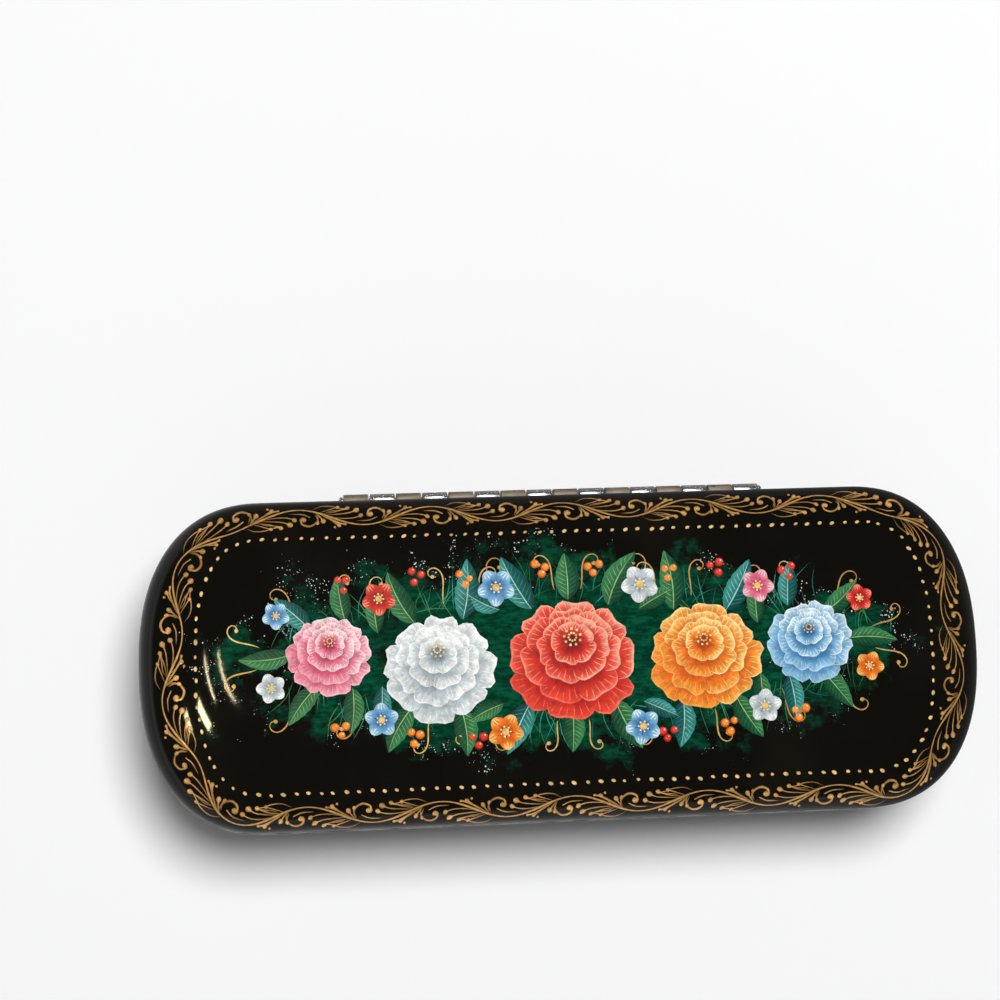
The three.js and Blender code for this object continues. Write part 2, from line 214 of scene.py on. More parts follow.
class StageSettings(PropertyGroup):
    """Camera, floor and light."""

    lean: FloatVectorProperty(
        name="Lean", description="X and Y of the direction to the camera", size=2,
        default=(-0.1018, -0.1311),
    )
    roll: FloatProperty(name="Roll", description="Turn of the picture", default=0.0283, subtype="ANGLE")
    shift: FloatVectorProperty(
        name="Shift", description="Picture's middle to the right of and above the case's middle", size=2,
        default=(-11.57 * MM, 31.0 * MM), unit="LENGTH",
    )
    distance: metres("Distance", "Camera to the level of the seam", 428.6 * MM)
    lens: number("Lens", "Focal length on a 36 mm sensor", 79.0)
    floor: colour("Floor", "Pale floor", (0.95, 0.95, 0.955))
    paper: metres("Paper", "Case to where the floor starts to fade into the backdrop", 0.3)
    backdrop: colour("Backdrop", "Plain backdrop", (0.965, 0.965, 0.965))
    lamps: number("Lamps", "Power that the overhead lamps share", 2.1, "POWER")
    strip_tint: colour("Strip tint", "Colour of the two thin lamps", (1.0, 0.82, 0.50))
    panel_tint: colour("Panel tint", "Colour of the two wide lamps", (1.0, 0.90, 0.52))
    softbox: number("Softbox", "Power of the softbox", 13.0, "POWER")
    softbox_size: metres("Softbox size", "Across the softbox", 0.50)
    softbox_place: FloatVectorProperty(
        name="Softbox place", description="Middle of the softbox", size=3,
        default=(0.10, 0.25, 1.15), unit="LENGTH",
    )
    hinge_lamp: number("Hinge lamp", "Power of the lamp on the hinge", 10.0, "POWER")
    near_wall: number("Near wall", "Brightness of the wall behind the camera", 5.0)
    far_wall: ratio("Far wall", "Brightness of the wall across from it", 0.6)
    wall_top: ratio("Wall top", "Sine of the height at which the walls end", 0.2)
    ceiling: ratio("Ceiling", "Brightness of the studio's ceiling", 0.04)
    mirrored_floor: ratio("Mirrored floor", "Brightness of the near floor's mirror image", 0.45)
    mirrored_far: ratio("Mirrored far floor", "Brightness of the far floor's mirror image", 0.14)
    mirrored_walls: ratio("Mirrored walls", "Brightness of the walls' mirror image", 0.12)


# Surface arithmetic

def quarter(middle, radii, start, end, count=7):
    """Points of an elliptical arc: middle plus radii times cosine and sine of an angle in degrees."""
    angle = np.radians(np.linspace(start, end, count))
    return np.stack([middle[0] + radii[0] * np.cos(angle), middle[1] + radii[1] * np.sin(angle)], -1)


def length_of(points):
    """Length of a polyline."""
    return np.linalg.norm(np.diff(points, axis=0), axis=1).sum()


def left_of(ahead):
    """Directions in a plane, turned a quarter to the left."""
    return np.stack([-ahead[..., 1], ahead[..., 0]], -1)


def along(points, places):
    """Points at given distances along a polyline, by linear interpolation of its coordinates."""
    points = np.asarray(points, float)
    gone = np.concatenate([[0], np.cumsum(np.linalg.norm(np.diff(points, axis=0), axis=1))])
    return np.stack([np.interp(places, gone, points[:, i]) for i in range(points.shape[1])], -1)


def spaced(points, count):
    """A polyline walked in equal steps."""
    return along(points, np.linspace(0, length_of(points), count))


def smooth_path(points, count):
    """A Catmull-Rom curve through a few points: each stretch is the cubic whose end slopes are
    half the step between the neighbours."""
    p = np.asarray(points, float)
    p = np.vstack([2 * p[0] - p[1], p, 2 * p[-1] - p[-2]])
    t = np.linspace(0, len(points) - 1, count)
    i = np.minimum(t.astype(int), len(points) - 2)
    f = (t - i)[:, None]
    a, b, c, d = p[i], p[i + 1], p[i + 2], p[i + 3]
    return 0.5 * (2 * b + (c - a) * f + (2 * a - 5 * b + 4 * c - d) * f**2 + (3 * b - a - 3 * c + d) * f**3)


def grid_quads(rows, columns, round_rows=False, round_columns=False):
    """Corners of the faces of a grid of points stored row by row, joined round where asked."""
    r, c = np.meshgrid(
        np.arange(rows if round_rows else rows - 1),
        np.arange(columns if round_columns else columns - 1),
        indexing="ij",
    )
    down, right = (r + 1) % rows, (c + 1) % columns
    corners = [r * columns + c, r * columns + right, down * columns + right, down * columns + c]
    return np.stack(corners, -1).reshape(-1, 4)


def smooth_step(t):
    """0 below 0, 1 above 1, and the cubic 3t^2 - 2t^3 between."""
    t = np.clip(t, 0, 1)
    return t * t * (3 - 2 * t)


def bent(value, power):
    """A sine or cosine raised to 2 over power with its sign kept, which turns an ellipse superelliptic."""
    return np.sign(value) * np.abs(value) ** (2 / power)


class Form:
    """One shell's section: wall height, flat share and power of its dome, and which way it grows."""

    def __init__(self, shape, lid):
        self.shape = shape
        self.up = 1 if lid else -1
        self.height = shape.crown if lid else shape.seam
        self.wall = shape.lid_wall if lid else shape.base_wall
        self.flat = shape.lid_flat if lid else shape.base_flat
        self.power = shape.lid_power if lid else shape.base_power
        self.straight = shape.length / 2 - shape.end_length

    def levels(self, inset, drop, steps, flat_steps=4):
        """Rows of (inset, share, height, drop) from the middle out to the wall. Share and rise follow
        a superellipse outside the flat: share^power + rise^power = 1."""
        angle = np.linspace(0, np.pi / 2, steps)
        out = bent(np.sin(angle), self.power)
        rise = bent(np.maximum(0, np.cos(angle)), self.power)
        flat = np.linspace(0, self.flat, flat_steps, endpoint=False)
        share = np.concatenate([flat, self.flat + (1 - self.flat) * out])
        rise = np.concatenate([np.ones(flat_steps), rise])
        height = self.wall + (self.height - drop - self.wall) * rise
        return np.stack([np.full_like(share, inset), share, height, np.full_like(share, drop)], -1)

    def dome(self, share, drop):
        """Height over the seam at a share, from that superellipse."""
        out = np.clip((share - self.flat) / (1 - self.flat), 0, 1)
        return self.wall + (self.height - drop - self.wall) * (1 - out**self.power) ** (1 / self.power)

    def share_at(self, height, drop):
        """Share where the dome stands at a height, from the same superellipse solved the other way."""
        rise = np.clip((height - self.wall) / (self.height - drop - self.wall), 0, 1)
        return self.flat + (1 - self.flat) * (1 - rise**self.power) ** (1 / self.power)

    def place(self, inset, share, x0, lean_x, lean_y, height):
        """Points of a level: the outline shrunk by inset and share, set at a height from the seam."""
        x = x0 + (self.shape.end_length - inset) * share * lean_x
        y = (self.shape.width / 2 - inset) * share * lean_y
        return np.stack(np.broadcast_arrays(x, y, self.shape.seam + self.up * height), -1)

    def skin(self, plan, lift):
        """Points over the outside of the dome at plan places (x, y), lift along its normal. Share is
        the plan place's superelliptic distance from the middle line, and the height follows from it."""
        step = 0.02 * MM
        x, y = plan[..., 0], plan[..., 1]

        def rise(x, y):
            across = np.abs(y) / (self.shape.width / 2 - self.shape.bead)
            ahead = np.maximum(0, np.abs(x) - self.straight) / (self.shape.end_length - self.shape.bead)
            power = self.shape.end_power
            return self.dome((across**power + ahead**power) ** (1 / power), 0)

        slope_x = (rise(x + step, y) - rise(x - step, y)) / (2 * step)
        slope_y = (rise(x, y + step) - rise(x, y - step)) / (2 * step)
        normal = np.stack([-slope_x, -slope_y, np.ones_like(x)], -1)
        normal /= np.linalg.norm(normal, axis=-1, keepdims=True)
        foot = np.stack([x, y, self.shape.seam + rise(x, y)], -1)
        return foot + normal * lift[..., None]


def outline_stations(form, notch, end_steps=72, side_steps=30):
    """Stations once round the outline: place on the middle line, lean along and across, and whether
    the station stands in the notch at the back. The notch's ends are doubled, so that its sides are
    upright."""
    ends = np.linspace(-np.pi / 2, np.pi / 2, end_steps + 1)[1:-1]
    side = np.linspace(-form.straight, form.straight, side_steps)
    side = np.unique(np.concatenate([side, [-notch, notch]]))
    back = np.sort(np.concatenate([side, [-notch, notch]]))[::-1]
    cut = np.abs(back) < notch
    cut[np.flatnonzero(np.abs(back) == notch)[1:3]] = True
    lean_x, lean_y = bent(np.cos(ends), form.shape.end_power), bent(np.sin(ends), form.shape.end_power)
    end = np.full_like(ends, form.straight)
    x0 = np.concatenate([side, end, back, -end])
    lean_x = np.concatenate([0 * side, lean_x, 0 * back, -lean_x])
    lean_y = np.concatenate([0 * side - 1, lean_y, 0 * back + 1, -lean_y])
    in_notch = np.zeros(len(x0), bool)
    before = len(side) + len(ends)
    in_notch[before:before + len(back)] = cut
    return x0, lean_x, lean_y, in_notch


def tray(form, skin, hollow, edge, notch, notch_height, steps=44):
    """Closed shell of a case half. Rows run from the middle of the outside, down the wall, round the
    edge and back over the inside; columns run round the outline. In the notch every row is held at or
    above its height, and the edge runs straight from the outer wall to the inner one."""
    ledge = min(notch_height, form.wall)
    outside = np.concatenate([form.levels(*skin, steps), [(skin[0], 1, ledge, skin[1])]])
    inside = np.concatenate([form.levels(*hollow, steps), [(hollow[0], 1, ledge, hollow[1])]])[::-1]
    rim_drop = np.linspace(skin[1], hollow[1], len(edge))
    rim = np.stack([edge[:, 0], np.ones(len(edge)), edge[:, 1], rim_drop], -1)
    rows = np.concatenate([outside, rim, inside])[:, None, :]
    x0, lean_x, lean_y, in_notch = outline_stations(form, notch)
    inset, share, height, drop = np.moveaxis(rows, -1, 0)
    straight_edge = np.linspace(skin[0], hollow[0], len(edge))
    notch_inset = np.concatenate([outside[:, 0], straight_edge, inside[:, 0]])[:, None]
    inset = np.where(in_notch, notch_inset, inset)
    share = np.where(in_notch, np.minimum(share, form.share_at(notch_height, drop)), share)
    height = np.where(in_notch, np.maximum(height, notch_height), height)
    points = form.place(inset, share, x0, lean_x, lean_y, height)
    quads = grid_quads(*points.shape[:2], round_columns=True)
    return points.reshape(-1, 3), quads[:, ::-form.up]


# Meshes and objects

DOUBLES = 1e-7  # points nearer than this become one


def piece(name, points, quads, finish, body, replaces=(), slot=None, crease=35, colours=None):
    """A mesh object at the origin, its doubles merged, smooth but for edges sharper than crease."""
    mesh = bpy.data.meshes.new(name)
    mesh.from_pydata(points.tolist(), [], quads.tolist())
    if colours is not None:
        paint = mesh.attributes.new("paint", "FLOAT_COLOR", "POINT")
        paint.data.foreach_set("color", np.c_[colours, np.ones(len(colours))].ravel())
    work = bmesh.new()
    work.from_mesh(mesh)
    bmesh.ops.remove_doubles(work, verts=work.verts, dist=DOUBLES)
    work.to_mesh(mesh)
    work.free()
    mesh.validate()
    mesh.shade_smooth()
    mesh.set_sharp_from_angle(angle=math.radians(crease))
    made = bpy.data.objects.new(name, mesh)
    bpy.context.scene.collection.objects.link(made)
    mesh.materials.append(finish)
    if body:
        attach(made, body)
    if replaces:
        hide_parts(*replaces)
    return made


def joined(parts):
    """Several (points, quads) as one, each part's corner numbers moved past the parts before it."""
    firsts = np.cumsum([0] + [len(points) for points, _ in parts[:-1]])
    points = np.concatenate([points for points, _ in parts])
    return points, np.concatenate([quads + first for (_, quads), first in zip(parts, firsts)])


def carried(path, normal, out, x):
    """A closed section carried along a path in the plane of y and z. Each ring of the section has its
    distances out along the path's normal and its places x along the hinge. Strips of quads close the
    ends."""
    yz = path[:, None, :] + normal[:, None, :] * out[..., None]
    points = np.concatenate([np.broadcast_to(x, out.shape)[..., None], yz], -1)
    rings, sides = out.shape
    quads = grid_quads(rings, sides, round_columns=True)
    low = np.arange(sides // 2 - 1)
    cap = np.stack([low, low + 1, sides - 2 - low, sides - 1 - low], -1)
    return points.reshape(-1, 3), np.concatenate([quads, cap[:, ::-1], cap + (rings - 1) * sides])


def rounded_bar(width, x_from, x_to, edge, steps=3):
    """Section of a flat bar as (out, x) rows: a rectangle, width by x, with its corners as arcs. Rows
    start in the middle of one narrow side, so that a cap can be laced across."""
    half, middle, reach = width / 2, (x_from + x_to) / 2, (x_to - x_from) / 2
    corner = quarter((half - edge, reach - edge), (edge, edge), 90, 0, steps)
    right = np.concatenate([corner, corner[::-1] * (1, -1)])
    loop = np.concatenate([right, right[::-1] * (-1, 1)])
    return loop + (0, middle)


# Finishes

class Nodes:
    """A material's nodes, with short calls for those that the finishes share."""

    def __init__(self, name, tree=None):
        self.tree = tree
        if tree is None:
            self.material = bpy.data.materials.new(name)
            self.material.use_nodes = True
            self.tree = self.material.node_tree
            self.shader = self.tree.nodes["Principled BSDF"]
            self.place = self.add("ShaderNodeTexCoord").outputs["Object"]

    def feed(self, socket, value):
        if isinstance(value, bpy.types.NodeSocket):
            self.tree.links.new(value, socket)
        else:
            socket.default_value = value

    def add(self, kind, inputs=None, **settings):
        node = self.tree.nodes.new(kind)
        for key, value in settings.items():
            setattr(node, key, value)
        for key, value in (inputs or {}).items():
            self.feed(node.inputs[key], value)
        return node

    def noise(self, scale, detail=2.0, rough=0.5, place=None):
        inputs = {"Vector": place or self.place, "Scale": scale, "Detail": detail, "Roughness": rough}
        return self.add("ShaderNodeTexNoise", inputs).outputs["Fac"]

    def span(self, value, low, high, to_low=0.0, to_high=1.0):
        inputs = {"Value": value, "From Min": low, "From Max": high, "To Min": to_low, "To Max": to_high}
        return self.add("ShaderNodeMapRange", inputs, interpolation_type="SMOOTHSTEP").outputs["Result"]

    def maths(self, kind, a, b):
        return self.add("ShaderNodeMath", {0: a, 1: b}, operation=kind).outputs["Value"]

    def measure(self, kind, *vectors):
        """A number made from vectors, such as a length or a dot product."""
        return self.add("ShaderNodeVectorMath", dict(enumerate(vectors)), operation=kind).outputs["Value"]

    def grey(self, level):
        inputs = {"Red": level, "Green": level, "Blue": level}
        return self.add("ShaderNodeCombineColor", inputs).outputs["Color"]

    def mix(self, share, a, b, kind="MIX"):
        node = self.add("ShaderNodeMix", data_type="RGBA", blend_type=kind)
        self.feed(node.inputs[0], share)
        for index, tint in ((6, a), (7, b)):
            self.feed(node.inputs[index], tint if isinstance(tint, bpy.types.NodeSocket) else (*tint, 1))
        return node.outputs[2]

    def surface(self, inputs):
        """Feeds the shader's own sockets and gives back the material."""
        for key, value in inputs.items():
            self.feed(self.shader.inputs[key], value)
        return self.material

    def bump(self, height, distance, strength=1.0):
        inputs = {"Height": height, "Distance": distance, "Strength": strength}
        return self.add("ShaderNodeBump", inputs).outputs["Normal"]

    def scaled(self, *scale):
        return self.add("ShaderNodeMapping", {"Vector": self.place, "Scale": scale}).outputs["Vector"]


def darker(tint, share):
    """A share of a colour."""
    return [channel * share for channel in tint]


# Heights off the seam where the pale band on a rim bead starts, is full, begins to fade and ends.
# The band is a painted highlight, with some rubbed wear.
BEAD_HIGHLIGHT_BAND = (1.2 * MM, 1.35 * MM, 1.5 * MM, 1.7 * MM)


def lacquer_finish(finish, name, painted):
    """Black lacquer rubbed to a gloss: brown clouds, a faint orange peel and uneven polish. The painted
    one has a soft green ground in its middle and clouds of fine white flecks round that. A pale band
    along the rim beads is a painted highlight, broken up by noise like rubbed lacquer."""
    n = Nodes(name)
    clouds = n.span(n.noise(45, 4), 0.4, 0.7)
    tint = n.mix(clouds, finish.lacquer, finish.lacquer_warm)
    if painted:
        far = n.measure("LENGTH", n.scaled(1 / finish.ground_length, 1 / finish.ground_width, 0))
        far = n.maths("ADD", far, n.span(n.noise(130, 4, 0.65), 0.2, 0.8, -0.45, 0.45))
        brushed = n.noise(1, 4, 0.7, n.scaled(420, 1100, 600))
        green = n.mix(n.span(brushed, 0.35, 0.7), finish.ground, finish.ground_light)
        tint = n.mix(n.span(far, 1.02, 0.62), tint, green)
        cell = n.add("ShaderNodeTexVoronoi", {"Vector": n.place, "Scale": 2300.0})
        drift = n.span(n.noise(75, 3, 0.6), 0.42, 0.62, 0.0, 0.42)
        ring = n.maths("MULTIPLY", n.span(far, 0.7, 0.95), n.span(far, 1.12, 1.0))
        size = n.maths("MULTIPLY", n.maths("MULTIPLY", drift, ring), cell.outputs["Color"])
        fleck = n.maths("LESS_THAN", cell.outputs["Distance"], size)
        tint = n.mix(fleck, tint, finish.fleck)
    level = n.add("ShaderNodeSeparateXYZ", {0: n.place}).outputs["Z"]
    off_seam = n.maths("ABSOLUTE", n.maths("SUBTRACT", level, HINGE_Z), 0.0)
    start, full, fading, end = BEAD_HIGHLIGHT_BAND
    bead = n.maths("MULTIPLY", n.span(off_seam, start, full), n.span(off_seam, end, fading))
    # Painted highlight along the rim beads, partly rubbed wear, broken up by noise
    worn = n.maths("MULTIPLY", bead, n.span(n.noise(260, 3, 0.6), 0.35, 0.6, 0.25, 1.0))
    return n.surface({
        "Base Color": n.mix(worn, tint, finish.bead_highlight_and_wear),
        "Roughness": n.span(n.noise(160, 3), 0.3, 0.7, 0.04, 0.06),
        "Normal": n.bump(n.noise(800, 3, 0.6), 0.0025 * MM),
        "Specular IOR Level": 0.3,
    })


def flock_finish(finish, name):
    """Short flock: a fine nap that leans two ways in soft patches, matt with a sheen."""
    n = Nodes(name)
    lean = n.span(n.noise(70, 3, 0.6), 0.35, 0.7, 0.0, 0.4)
    flecks = n.span(n.noise(650, 3, 0.7), 0.4, 0.66, 0.0, 0.55)
    nap = n.noise(2600, 2, 0.7)
    tint = n.mix(flecks, n.mix(lean, finish.flock, finish.flock_shade), finish.flock_shade)
    return n.surface({
        "Base Color": n.mix(n.span(nap, 0.3, 0.7, 0.0, 0.3), tint, finish.flock_shade),
        "Roughness": 0.95,
        "Specular IOR Level": 0.2,
        "Sheen Weight": 0.25,
        "Sheen Roughness": 0.4,
        "Normal": n.bump(nap, 0.12 * MM, 0.5),
    })


def metal_finish(tint, name, rough, haze):
    """Rolled metal strip: fine grain across the hinge, dull clouds and small dark pits, under a matt
    haze."""
    n = Nodes(name)
    grain = n.noise(1, 3, 0.6, n.scaled(6000, 300, 300))
    clouds = n.noise(260, 4, 0.6)
    pits = n.span(n.noise(1900, 1), 0.66, 0.72)
    worn = n.mix(n.span(clouds, 0.5, 0.85), tint, darker(tint, 0.55))
    return n.surface({
        "Base Color": n.mix(pits, worn, darker(tint, 0.3)),
        "Roughness": n.span(clouds, 0.3, 0.7, rough, rough + 0.1),
        "Normal": n.bump(grain, 0.01 * MM, 0.4),
        "Metallic": 1 - haze,
    })


def foam_finish(finish, name):
    """Open foam: small cells that shade the colour and dent the surface."""
    n = Nodes(name)
    cells = n.add("ShaderNodeTexVoronoi", {"Vector": n.place, "Scale": 1500.0}).outputs["Distance"]
    return n.surface({
        "Base Color": n.mix(cells, darker(finish.foam, 0.7), finish.foam),
        "Roughness": 0.95,
        "Normal": n.bump(cells, 0.2 * MM, 0.6),
    })


def paint_finish(name, metal, rough):
    """Brush paint under lacquer: the mark's own colour, thicker and thinner along the stroke."""
    n = Nodes(name)
    mark = n.add("ShaderNodeAttribute", attribute_name="paint").outputs["Color"]
    load = n.span(n.noise(900, 3, 0.6), 0.3, 0.7, 0.72, 1.12)
    return n.surface({
        "Base Color": n.mix(1.0, mark, n.grey(load), "MULTIPLY"),
        "Roughness": n.span(n.noise(500, 2), 0.3, 0.7, rough, rough + 0.12),
        "Normal": n.bump(n.noise(1500, 2), 0.01 * MM, 0.5),
        "Metallic": metal,
        "Coat Weight": 0.5,
        "Coat Roughness": 0.06,
    })


# Brush marks

PAINT_SINK = 0.02 * MM  # about how far a mark reaches down into what it stands on
LINE_HEIGHT = 0.012 * MM
TENDRIL_HEIGHT = 0.035 * MM


def towards(turn):
    """Unit vector at an angle in the plan."""
    return np.array([math.cos(turn), math.sin(turn)])


class Brush:
    """Marks on the lid, gathered as plan places, lifts over the lacquer, colours and faces."""

    def __init__(self):
        self.parts = []
        self.colours = []

    def add(self, plan, lift, colours, quads):
        flat = np.concatenate([plan.reshape(-1, 2), lift.reshape(-1, 1)], -1)
        self.parts.append((flat, quads))
        self.colours.append(np.broadcast_to(colours, (*plan.shape[:-1], 3)).reshape(-1, 3))

    def stroke(self, path, half_width, height, colours, floor=0.0, endless=False):
        """A ridge along a path: each ring has a left edge, a crown, a right edge and an underside. It
        stands on the floor, which is the lacquer or the height of the paint below it. An endless one
        joins its last ring to its first."""
        if endless:
            ahead = np.roll(path, -1, axis=0) - np.roll(path, 1, axis=0)
        else:
            ahead = np.gradient(path, axis=0)
        ahead /= np.linalg.norm(ahead, axis=1, keepdims=True) + 1e-12
        side = left_of(ahead) * half_width[:, None]
        plan = np.stack([path + side, path, path - side, path], 1)
        thick = np.minimum(1, half_width / half_width.max())
        edge = np.full_like(thick, floor - PAINT_SINK / 4)
        lift = np.stack([edge, floor + height * thick, edge, edge - PAINT_SINK], 1)
        rings = len(path)
        quads = grid_quads(rings, 4, round_rows=endless, round_columns=True)
        if not endless:
            caps = np.array([[3, 2, 1, 0], np.arange(4) + 4 * (rings - 1)])
            quads = np.concatenate([quads, caps])
        self.add(plan, lift, np.asarray(colours, float), quads)

    def drop(self, middle, radii, turn, height, tint, sides=8, floor=0.0):
        """A round drop of paint: rings at the top, the shoulder and the rim, and an underside point."""
        angle = np.linspace(0, 2 * np.pi, sides, endpoint=False) + turn
        circle = np.stack([np.cos(angle), np.sin(angle)], -1)
        turned = np.array([[math.cos(turn), math.sin(turn)], [-math.sin(turn), math.cos(turn)]])
        share = np.array([0, 0.6, 1, 0])
        lift = floor + np.array([height, height * 0.8, -PAINT_SINK / 4, -PAINT_SINK])
        plan = middle + (share[:, None, None] * circle * radii) @ turned
        quads = grid_quads(4, sides, round_columns=True)
        tones = np.broadcast_to(np.asarray(tint, float), (4, 3))[:, None, :]
        self.add(plan, np.repeat(lift[:, None], sides, 1), tones, quads[:, ::-1])

    def patch(self, place, tint, height, crown, rows=7, columns=8):
        """A petal or leaf: place(u, v) gives the plan of its face, u across from -1 to 1 and v along
        from 0 to 1, and tint(u, v) its colour. The face is crowned by a parabola across and a half
        circle along; a skirt goes down into the lacquer, and strips laced from edge to edge close it
        below."""
        v = np.concatenate([[0], np.linspace(0, 1, rows), [1]])[:, None]
        u = np.concatenate([[-1], np.linspace(-1, 1, columns), [1]])[None, :]
        face = np.zeros((rows + 2, columns + 2), bool)
        face[1:-1, 1:-1] = True
        swell = (1 - u**2) * np.sqrt(1 - (2 * v - 1) ** 2)
        lift = np.where(face, height + crown * swell, -PAINT_SINK)
        wide = columns + 2
        left = np.arange(rows + 1) * wide
        right = left + columns + 1
        low = np.arange(wide // 2 - 1)
        cap = np.stack([low, low + 1, columns - low, columns + 1 - low], -1)
        under = np.stack([left, right, right + wide, left + wide], -1)
        quads = [grid_quads(rows + 2, wide)[:, ::-1], under, cap, cap[:, ::-1] + (rows + 1) * wide]
        self.add(place(u, v), lift, tint(u, v), np.concatenate(quads))

    def line(self, points, half_width, floor, tint, rings=7, thin=0.12):
        """A brush line through a few points, thin at both ends, with a half sine of width between."""
        path = spaced(smooth_path(points, 40), rings)
        width = half_width * (thin + (1 - thin) * np.sin(np.pi * np.linspace(0, 1, rings) ** 0.8))
        self.stroke(path, width, LINE_HEIGHT, tint, floor)

    def tendril(self, foot, turn, length, curl, half_width, ball, tint, rings=30, samples=400):
        """A stem that curls up: it first bends a quarter of its curl the other way, evenly, while its
        heading turns as the cube of the way gone, so that it bends ever tighter. It ends in a ball."""
        gone = 1 - (1 - np.linspace(0, 1, rings)) ** 1.3
        fine = np.linspace(0, 1, samples)
        heading = turn - 0.25 * curl * fine + 1.25 * curl * fine**3
        steps = np.stack([np.cos(heading), np.sin(heading)], -1) * length / samples
        path = along(foot + np.cumsum(steps, axis=0), gone * length)
        width = half_width * (0.35 + 0.65 * np.sin(np.pi * gone**0.7) ** 0.7)
        bulb = np.sqrt(np.maximum(0, ball**2 - ((1 - gone) * length - ball) ** 2))
        width = np.maximum(np.maximum(width * (gone < 0.96), bulb), 0.1 * half_width)
        self.stroke(path, width, TENDRIL_HEIGHT, tint)

    def piece(self, name, form, finish):
        """All the marks as one piece on the lid."""
        flat, quads = joined(self.parts)
        points = form.skin(flat[:, :2], flat[:, 2])
        piece(name, points, quads, finish, "lid", colours=np.concatenate(self.colours), crease=60)


# Palettes run from the deep base of a petal or leaf, over two middle tones, to its pale edge
PALETTES = {
    "red": ((0.09, 0.002, 0.004), (0.50, 0.010, 0.010), (0.86, 0.06, 0.03), (0.98, 0.44, 0.30)),
    "orange": ((0.26, 0.022, 0.003), (0.78, 0.12, 0.008), (0.96, 0.33, 0.03), (1.00, 0.76, 0.32)),
    "white": ((0.12, 0.17, 0.21), (0.40, 0.47, 0.50), (0.80, 0.83, 0.82), (0.98, 0.98, 0.95)),
    "pink": ((0.26, 0.01, 0.05), (0.68, 0.08, 0.17), (0.92, 0.36, 0.44), (0.99, 0.82, 0.82)),
    "blue": ((0.008, 0.05, 0.17), (0.06, 0.24, 0.48), (0.32, 0.60, 0.80), (0.86, 0.94, 0.97)),
    "green": ((0.002, 0.022, 0.012), (0.008, 0.11, 0.045), (0.05, 0.27, 0.09), (0.42, 0.62, 0.22)),
    "teal": ((0.001, 0.022, 0.026), (0.004, 0.13, 0.12), (0.05, 0.38, 0.33), (0.55, 0.84, 0.70)),
    "gold": ((0.30, 0.13, 0.02), (0.62, 0.31, 0.07), (0.90, 0.58, 0.18), (1.00, 0.86, 0.50)),
}
STOPS = (0.0, 0.42, 0.8, 1.0)


def shade(palette, t):
    """Colour of a palette at t from 0 to 1, by straight lines between its four tones."""
    tones = np.array(PALETTES[palette])
    return np.stack([np.interp(t, STOPS, tones[:, i]) for i in range(3)], -1)


# Heights of the marks over the lacquer, and how far a crown or a drop rises over its own mark
PETAL_HEIGHT = 0.035 * MM
PETAL_STEP = 0.022 * MM  # between rings of petals
PETAL_SCATTER = 0.008 * MM
PETAL_CROWN = 0.02 * MM
HEART_HEIGHT = 0.14 * MM
STAMEN_RISE = 0.03 * MM
LEAF_HEIGHT = 0.012 * MM
LEAF_CROWN = 0.015 * MM
SMALL_HEIGHT = 0.05 * MM
SMALL_CROWN = 0.025 * MM
EYE_RISE = 0.03 * MM
BERRY_HEIGHT = 0.045 * MM
DROP_RISE = 0.02 * MM
BACK_STEP = 0.07  # each ring of petals lies this share of the radius further back


